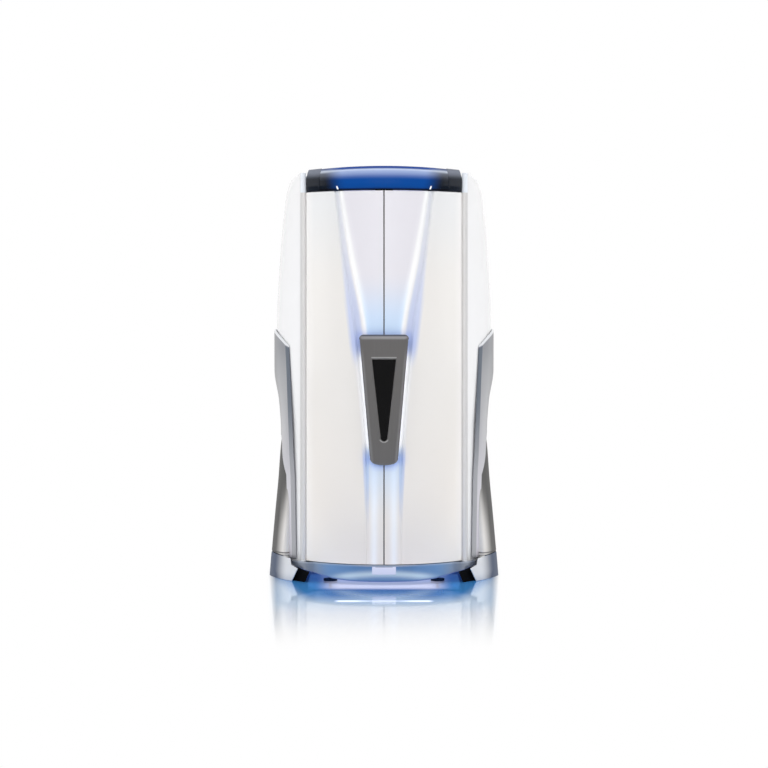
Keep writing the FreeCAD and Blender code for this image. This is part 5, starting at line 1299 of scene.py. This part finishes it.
# ------------------------------------------------------------ operators, one per piece group
class BOOTH_OT_doors(Operator):
    """Door skins with their flaring pressed groove, each a closed wall"""
    bl_idname = "booth.doors"
    bl_label = "Doors"

    def execute(self, context):
        sizes, colours, _ = settings(context)
        for side, hand in HANDS:
            skin = walled_grid("door_skin_" + side, door_points(0.0) * hand,
                               door_points(sizes.skin) * hand, 40.0)
            door_masks(skin)
            rounded(skin, sizes.edge_round)
            finish_piece(skin, side + "_door", "door_white", colours, "door_shell_" + side)
            stand_ins(colours, "door_frame_" + side, "door_shield_" + side,
                      "door_seal_" + side)
        stand_ins(colours, "hinge_bearings", finish="hinge_heads")
        stand_ins(colours, "door_magnets", rounding=sizes.part_round)
        return {"FINISHED"}


class BOOTH_OT_covers(Operator):
    """Side covers with rounded shoulders"""
    bl_idname = "booth.covers"
    bl_label = "Side covers"

    def execute(self, context):
        sizes, colours, _ = settings(context)
        for side, hand in HANDS:
            shell = walled_grid("side_shell_" + side, cover_points(0.0) * hand,
                                cover_points(sizes.skin) * hand, 50.0)
            rounded(shell, sizes.edge_round)
            finish_piece(shell, "booth", "cover_white", colours, "side_cover_" + side)
        return {"FINISHED"}


class BOOTH_OT_armour(Operator):
    """Side armour: a saddle on two legs with faceted edges"""
    bl_idname = "booth.armour"
    bl_label = "Side armour"

    def execute(self, context):
        sizes, colours, _ = settings(context)
        facet = sizes.armour_facet, sizes.armour_facet_depth
        for side, hand in HANDS:
            piece = walled_halves("armour_" + side, wing_points(0.0, *facet),
                                  wing_points(sizes.armour_wall, *facet), hand, 12.0)
            points = corners_of(piece)
            y, z = np.abs(points[:, 1]), points[:, 2]
            along = np.interp(z, *np.array(WING_EDGE).T) - y
            below = wing_top(y) - z
            # band: the darker edge facets; crest: a painted highlight under the upper edge; side:
            # painted shade round the outside
            mask(piece, "band", (along < facet[0]) * (below > WING_CREST))
            mask(piece, "crest", (below < WING_CREST) * 1.0)
            mask(piece, "side", risen(turned(points), 70.0, 12.0) * risen(z, 0.62, 0.1))
            finish_piece(piece, "booth", "armour_silver", colours, "wing_" + side)
        return {"FINISHED"}


class BOOTH_OT_legs(Operator):
    """Flared leg covers, boots and the dark blocks beside them"""
    bl_idname = "booth.legs"
    bl_label = "Legs and feet"

    def execute(self, context):
        sizes, colours, _ = settings(context)
        for side, hand in HANDS:
            leg = walled_halves("leg_skin_" + side, leg_points(0.0), leg_points(sizes.skin),
                                hand, 50.0)
            points = corners_of(leg)
            phi, z = turned(points), points[:, 2]
            # painted shade round the outside of the leg, reaching further round higher up
            mask(leg, "turn", eased((phi - 56.0 + 5.5 * risen(z, 0.22, 0.45)) / 11.5))
            # painted shade in the pressed line and in the gap above the boot
            mask(leg, "line", bell(z, level_round_leg(LEG_LINE, phi), 0.0036)
                 + bell(z, level_round_leg(BOOT_TOP, phi) + 0.002, 0.0040))
            finish_piece(leg, "booth", "leg_silver", colours, "leg_covers_" + side)
            boot = walled_halves("boot_" + side, boot_points(0.0), boot_points(TRIM_WALL), hand,
                                 40.0)
            points = corners_of(boot)
            # painted shade round the outside of the boot and near the floor
            mask(boot, "turn", risen(turned(points), 52.0, 13.0)
                 + 0.15 * fallen(points[:, 2], 0.05, 0.05))
            rounded(boot, BOOT_EDGE_ROUND, angle=50.0)
            finish_piece(boot, "booth", "foot_silver", colours, "feet_" + side)
            block = loop_solid("foot_block_" + side, np.array(
                [block_ring(share) for share in spaced(0.0, 1.0, 5)]) * hand, 40.0)
            rounded(block, BLOCK_EDGE_ROUND, 3, 50.0)
            finish_piece(block, "booth", node_slot("foot_blocks"), colours,
                         *(["foot_blocks"] if side == "right" else []), finish="rubber_black")
        stand_ins(colours, "levelling_feet", finish="levelling_pads")
        return {"FINISHED"}


class BOOTH_OT_canopy(Operator):
    """Canopy visor, its end caps and the light bar behind it"""
    bl_idname = "booth.canopy"
    bl_label = "Canopy"

    def execute(self, context):
        sizes, colours, _ = settings(context)
        visor = walled_grid("canopy_shell", visor_points(0.0), visor_points(TRIM_WALL), 50.0)
        points = corners_of(visor)
        phi = turned(points)
        share = (points[:, 2] - VISOR_LOW) / (visor_top(phi) - VISOR_LOW)
        smoke = eased((phi - 18.5 - 3.0 * share) / 12.0)
        # smoke: the smoked ends; pale: painted light of the bar behind and a painted reflection; shine:
        # a painted highlight; lit: a painted glow from the light bar
        mask(visor, "smoke", smoke)
        mask(visor, "pale", 0.72 * risen(share, 0.42, 0.45) * (1.0 - 0.25 * smoke))
        mask(visor, "crest", risen(share, 0.86, 0.05) * (1.0 - 0.6 * smoke))
        mask(visor, "foot", fallen(share, 0.12, 0.10))
        mask(visor, "shine", bell(share, 0.855, 0.035 + 0.025 * smoke) * (0.5 + 0.15 * smoke))
        mask(visor, "lit", (1.0 - smoke) * risen(share, 0.05, 0.3))
        rounded(visor, sizes.edge_round)
        finish_piece(visor, "booth", "visor_blue", colours, "canopy_visor")
        stand_ins(colours, "canopy_cap_right", "canopy_cap_left", "canopy_light",
                  rounding=sizes.part_round)
        return {"FINISHED"}


class BOOTH_OT_pull_plate(Operator):
    """Pull plate with its bevels, recess and spine, and the gloss inset"""
    bl_idname = "booth.pull_plate"
    bl_label = "Pull plate"

    def execute(self, context):
        sizes, colours, _ = settings(context)
        bevel = sizes.plate_bevel, sizes.plate_bevel_depth
        plate = walled_grid("pull_plate", plate_points(False, *bevel),
                            plate_points(True, *bevel), 25.0)
        points = corners_of(plate)
        aside = (plate_half_width(points[:, 2])
                 - PLATE_R * np.sin(np.radians(turned(points))))
        fall = PLATE_HEAD[0] - points[:, 2]
        # painted shade at the rim and painted highlights on the bevels
        mask(plate, "rim", eased(1.0 - aside / (0.4 * bevel[0]))
             + fallen(fall, 0.0105, 0.004))
        mask(plate, "sheen", bell(fall, 0.0165, 0.0065) * eased(aside / 0.02)
             + 0.30 * bell(aside, 0.011, 0.005) * risen(fall, 0.06, 0.10))
        finish_piece(plate, "right_door", "handle_metal", colours, "handle_plate")
        ring = np.stack(np.broadcast_arrays(SPINE[None, :, 0], SPINE[None, :, 1],
                                            spaced(*SPINE_ENDS, 12)[:, None]), axis=-1)
        spine = rounded(loop_solid("pull_plate_spine", ring, 35.0), sizes.part_round,
                        angle=50.0)
        finish_piece(spine, "right_door", "handle_metal", colours)
        inset = walled_grid("pull_plate_inset", inset_points(False), inset_points(True), 50.0)
        finish_piece(inset, "right_door", "inset_black", colours, "handle_inset")
        return {"FINISHED"}


class BOOTH_OT_skirt(Operator):
    """Skirt under the doors with its lit lens"""
    bl_idname = "booth.skirt"
    bl_label = "Skirt"

    def execute(self, context):
        sizes, colours, _ = settings(context)
        skirt = walled_grid("skirt_shell", skirt_points(0.0), skirt_points(TRIM_WALL), 40.0)
        points = corners_of(skirt)
        x, z = np.abs(points[:, 0]), points[:, 2]
        rise = (z - skirt_low(x)) / (SKIRT_TOP - skirt_low(x))
        # ends: greyer where the painted blue reflection fades; lip and band: painted highlights; rim:
        # painted shade along the lower edge
        mask(skirt, "ends", risen(x, 0.29, 0.17))
        mask(skirt, "lip", risen(z, 0.104, 0.006) * (1.0 - 0.6 * risen(x, 0.08, 0.15)))
        mask(skirt, "band", bell(rise, 0.48 - 0.16 * (x / 0.194) ** 2, 0.20)
             * fallen(x, 0.36, 0.16))
        mask(skirt, "rim", fallen(rise, 0.10, 0.08))
        rounded(skirt, sizes.edge_round)
        finish_piece(skirt, "booth", "skirt_blue_silver", colours, "base_skirt")
        stand_ins(colours, "threshold_lens", rounding=sizes.part_round)
        return {"FINISHED"}


class BOOTH_OT_lamps(Operator):
    """Lamp tubes with metal ends in the doors and on both sides"""
    bl_idname = "booth.lamps"
    bl_label = "Lamps"

    def execute(self, context):
        sizes, colours, _ = settings(context)
        door, wall = spaced(*DOOR_LAMPS), spaced(*SIDE_LAMPS)
        for node, body, turns in (("door_lamps_right", "right_door", door),
                                  ("door_lamps_left", "left_door", -door),
                                  ("side_lamps", "booth", np.r_[wall, -wall])):
            rings = lamp_points(polar(LAMP_CIRCLE, turns, 0.0), sizes.lamp_cap)
            tubes = new_mesh(node + "_tubes", rings, tube_faces(*rings.shape[:3]), 30.0)
            z = corners_of(tubes)[:, 2]
            mask(tubes, "cap", (np.minimum(z - LAMP_LOW, LAMP_HIGH - z)
                                < sizes.lamp_cap + 0.001) * 1.0)
            finish_piece(tubes, body, "lamp_glass", colours, node)
        return {"FINISHED"}


class BOOTH_OT_cabin(Operator):
    """Cabin: lamp trays, shields, floor, ceiling, column, display, buttons and grips"""
    bl_idname = "booth.cabin"
    bl_label = "Cabin"

    def execute(self, context):
        sizes, colours, _ = settings(context)
        stand_ins(colours, "lamp_tray_right", "lamp_tray_left", "side_shield_right",
                  "side_shield_left", "floor_plate", "floor_mat", "ceiling_panel",
                  "hand_grips")
        stand_ins(colours, "control_column", "display", "button_start", "button_stop",
                  "button_fan", "button_light", rounding=sizes.part_round)
        return {"FINISHED"}


class BOOTH_OT_frame(Operator):
    """Frame, roof, fans, rear cover and electrical parts"""
    bl_idname = "booth.frame"
    bl_label = "Frame, roof and rear"

    def execute(self, context):
        sizes, colours, _ = settings(context)
        stand_ins(colours, "base_frame", "posts", "top_frame", "roof_cover", "exhaust_spigot",
                  "exhaust_fan_housing", "breeze_fan_housing", "exhaust_impeller",
                  "breeze_impeller", "rear_cover", "service_panel")
        stand_ins(colours, "control_box", "ballasts", "inlet_gland", "panel_screws",
                  rounding=sizes.part_round)
        return {"FINISHED"}


class BOOTH_OT_stage(Operator):
    """Pale floor, white surround, soft lights and the camera"""
    bl_idname = "booth.stage"
    bl_label = "Stage"

    def execute(self, context):
        _, colours, stage = settings(context)
        self.floor(colours, stage)
        self.world(context.scene, stage)
        chest = (0.0, 0.0, 1.2)
        self.softbox("key", (0.0, -8.0, 3.4), chest, (4.0, 3.0), stage.key_watts)
        self.softbox("overhead", (0.0, -0.5, 9.0), (0.0, 0.0, 0.0), (5.0, 5.0),
                     stage.top_watts)
        for side in (-1.0, 1.0):
            self.softbox("fill_%+d" % side, (side * 6.5, -2.5, 3.0), chest, (3.0, 4.0),
                         stage.fill_watts)
        glow = self.softbox("under_booth", (0.0, -0.20, 0.043), (0.0, -0.20, 0.0),
                            (0.90, 0.62), stage.glow_watts)
        glow.data.color = (0.14, 0.40, 1.0)
        glow.visible_glossy = True
        self.camera(context.scene, stage)
        return {"FINISHED"}

    def floor(self, colours, stage):
        """A wide sheet with painted light before the booth: a blue pool, a pale glowing strip, a pale
        and a bluish glow, and a bright line that is a painted reflection; its polish fades into the
        white surround."""
        points = np.array([(x, y, 0.0) for y in (-40.0, 40.0) for x in (-40.0, 40.0)])
        piece = new_mesh("studio_floor", points, [(0, 1, 3, 2)], 35.0)
        paint = Paint("studio_floor_gloss", (236, 240, 248), 0.06, specular=0.6,
                      emission_strength=1.0)
        x, y, _ = paint.place()
        across, ahead = paint.math("ABSOLUTE", x), paint.math("ABSOLUTE", y)
        front = paint.times(y, -1.0)
        beside = paint.math("ADD", across, paint.times(ahead, 0.07))
        skewed = paint.math("ADD", across, paint.times(ahead, 0.25))
        # painted light: a blue pool, a pale strip and a pale and bluish glow before the booth
        near = paint.times(paint.falling(across, *NEAR_SIDE),
                           paint.ranged(front, *NEAR_FRONT))
        pool = paint.times(near, paint.falling(skewed, *POOL_SIDE),
                           paint.falling(front, *POOL_FRONT))
        white_pool = paint.times(near, paint.falling(across, *WHITE_SIDE),
                                 paint.falling(front, *WHITE_FRONT))
        blue = paint.mix(paint.ranged(across, 0.26, 0.42), colours.floor_blue, (72, 150, 224))
        # painted reflection: a bright line before the skirt
        line = paint.times(paint.falling(across, *LINE_SIDE),
                           paint.ranged(across, *LINE_MIDDLE, 0.35),
                           paint.within(front, *LINE_FRONT))
        shine = paint.math("ADD", paint.times(white_pool, 0.28), paint.times(line, 0.85))
        paint.set(
            base_color=paint.coats(
                (250, 250, 252),
                (paint.times(near, paint.falling(front, *PALE_GLOW_FRONT)), (224, 233, 246)),
                (paint.times(near, paint.falling(front, *BLUE_GLOW_FRONT)), (204, 226, 250)),
                (pool, blue), (white_pool, (226, 224, 244))),
            emission_color=paint.mix(shine, (0, 0, 0), (236, 236, 252)))
        fade = paint.math("MAXIMUM", paint.ranged(beside, *ROOM_SIDE),
                          paint.ranged(ahead, *ROOM_AHEAD))
        camera, seen = paint.seen()
        far = paint.ranged(y, *ROOM_FRONT, stage.front_dim)
        glow = paint.node("Emission", {"Strength": paint.math("MAXIMUM", far, camera)})[0]
        mix = paint.node("MixShader", {0: paint.times(fade, seen), 1: paint.shader.outputs[0],
                                       2: glow})[0]
        paint.tree.links.new(mix, paint.tree.nodes["Material Output"].inputs["Surface"])
        piece.data.materials.append(paint.material)

    def world(self, scene, stage):
        """White to the camera and in reflections, plain grey light on the surfaces."""
        scene.world = bpy.data.worlds.new("white_surround")
        scene.world.use_nodes = True
        graph = Graph(scene.world.node_tree)
        camera, seen = graph.seen()
        _, ahead, up = graph.place("Generated")
        front = graph.times(graph.falling(ahead, -0.75, -0.1), graph.falling(up, 0.15, 0.55))
        room = graph.ranged(front, 0.0, 1.0, 1.0, stage.front_dim)
        background = graph.tree.nodes["Background"].inputs
        graph.feed(background["Color"], (255, 255, 255))
        graph.feed(background["Strength"], graph.ranged(
            seen, 0.0, 1.0, stage.ambient, graph.math("MAXIMUM", room, camera)))

    def softbox(self, name, place, aim, size, watts):
        """A rectangular light that faces a point and doesn't show in reflections."""
        data = bpy.data.lights.new(name, "AREA")
        data.shape = "RECTANGLE"
        data.size, data.size_y = size
        data.energy = watts
        light = bpy.data.objects.new(name, data)
        light.location = place
        ahead = Vector(aim) - Vector(place)
        light.rotation_euler = ahead.to_track_quat("-Z", "Y").to_euler()
        light.visible_glossy = False
        bpy.context.scene.collection.objects.link(light)
        return light

    def camera(self, scene, stage):
        """A level camera straight in front of the doors, its frame shifted down."""
        data = bpy.data.cameras.new("front_camera")
        data.sensor_width = 36.0
        data.lens = stage.focal_length
        data.shift_y = stage.shift
        camera = bpy.data.objects.new("front_camera", data)
        camera.location = (0.0, -stage.camera_distance, stage.camera_height)
        camera.rotation_euler = (0.5 * math.pi, 0.0, 0.0)
        scene.collection.objects.link(camera)
        scene.camera = camera
        scene.view_settings.view_transform = "Standard"


class BOOTH_PT_sidebar(Panel):
    """Booth settings and the buttons that build its groups"""
    bl_idname = "BOOTH_PT_sidebar"
    bl_label = "Tanning booth"
    bl_space_type = "VIEW_3D"
    bl_region_type = "UI"
    bl_category = "Booth"

    def draw(self, context):
        for group in settings(context):
            column = self.layout.column(align=True)
            for name in group.__annotations__:
                column.prop(group, name)
        for operator in OPERATORS:
            self.layout.operator(operator.bl_idname)


OPERATORS = (BOOTH_OT_doors, BOOTH_OT_covers, BOOTH_OT_armour, BOOTH_OT_legs, BOOTH_OT_canopy,
             BOOTH_OT_pull_plate, BOOTH_OT_skirt, BOOTH_OT_lamps, BOOTH_OT_cabin,
             BOOTH_OT_frame, BOOTH_OT_stage)
CLASSES = (BoothSizes, BoothColours, BoothStage) + OPERATORS + (BOOTH_PT_sidebar,)


def register():
    """Registers the classes and hangs the settings on the scene."""
    for item in CLASSES:
        bpy.utils.register_class(item)
    bpy.types.Scene.booth_sizes = PointerProperty(type=BoothSizes)
    bpy.types.Scene.booth_colours = PointerProperty(type=BoothColours)
    bpy.types.Scene.booth_stage = PointerProperty(type=BoothStage)


def unregister():
    """Takes the settings and the classes away again."""
    del bpy.types.Scene.booth_stage
    del bpy.types.Scene.booth_colours
    del bpy.types.Scene.booth_sizes
    for item in reversed(CLASSES):
        bpy.utils.unregister_class(item)


def main():
    """Builds every group in order."""
    register()
    bpy.ops.booth.doors()
    bpy.ops.booth.covers()
    bpy.ops.booth.armour()
    bpy.ops.booth.legs()
    bpy.ops.booth.canopy()
    bpy.ops.booth.pull_plate()
    bpy.ops.booth.skirt()
    bpy.ops.booth.lamps()
    bpy.ops.booth.cabin()
    bpy.ops.booth.frame()
    bpy.ops.booth.stage()


if __name__ == "__main__":
    main()
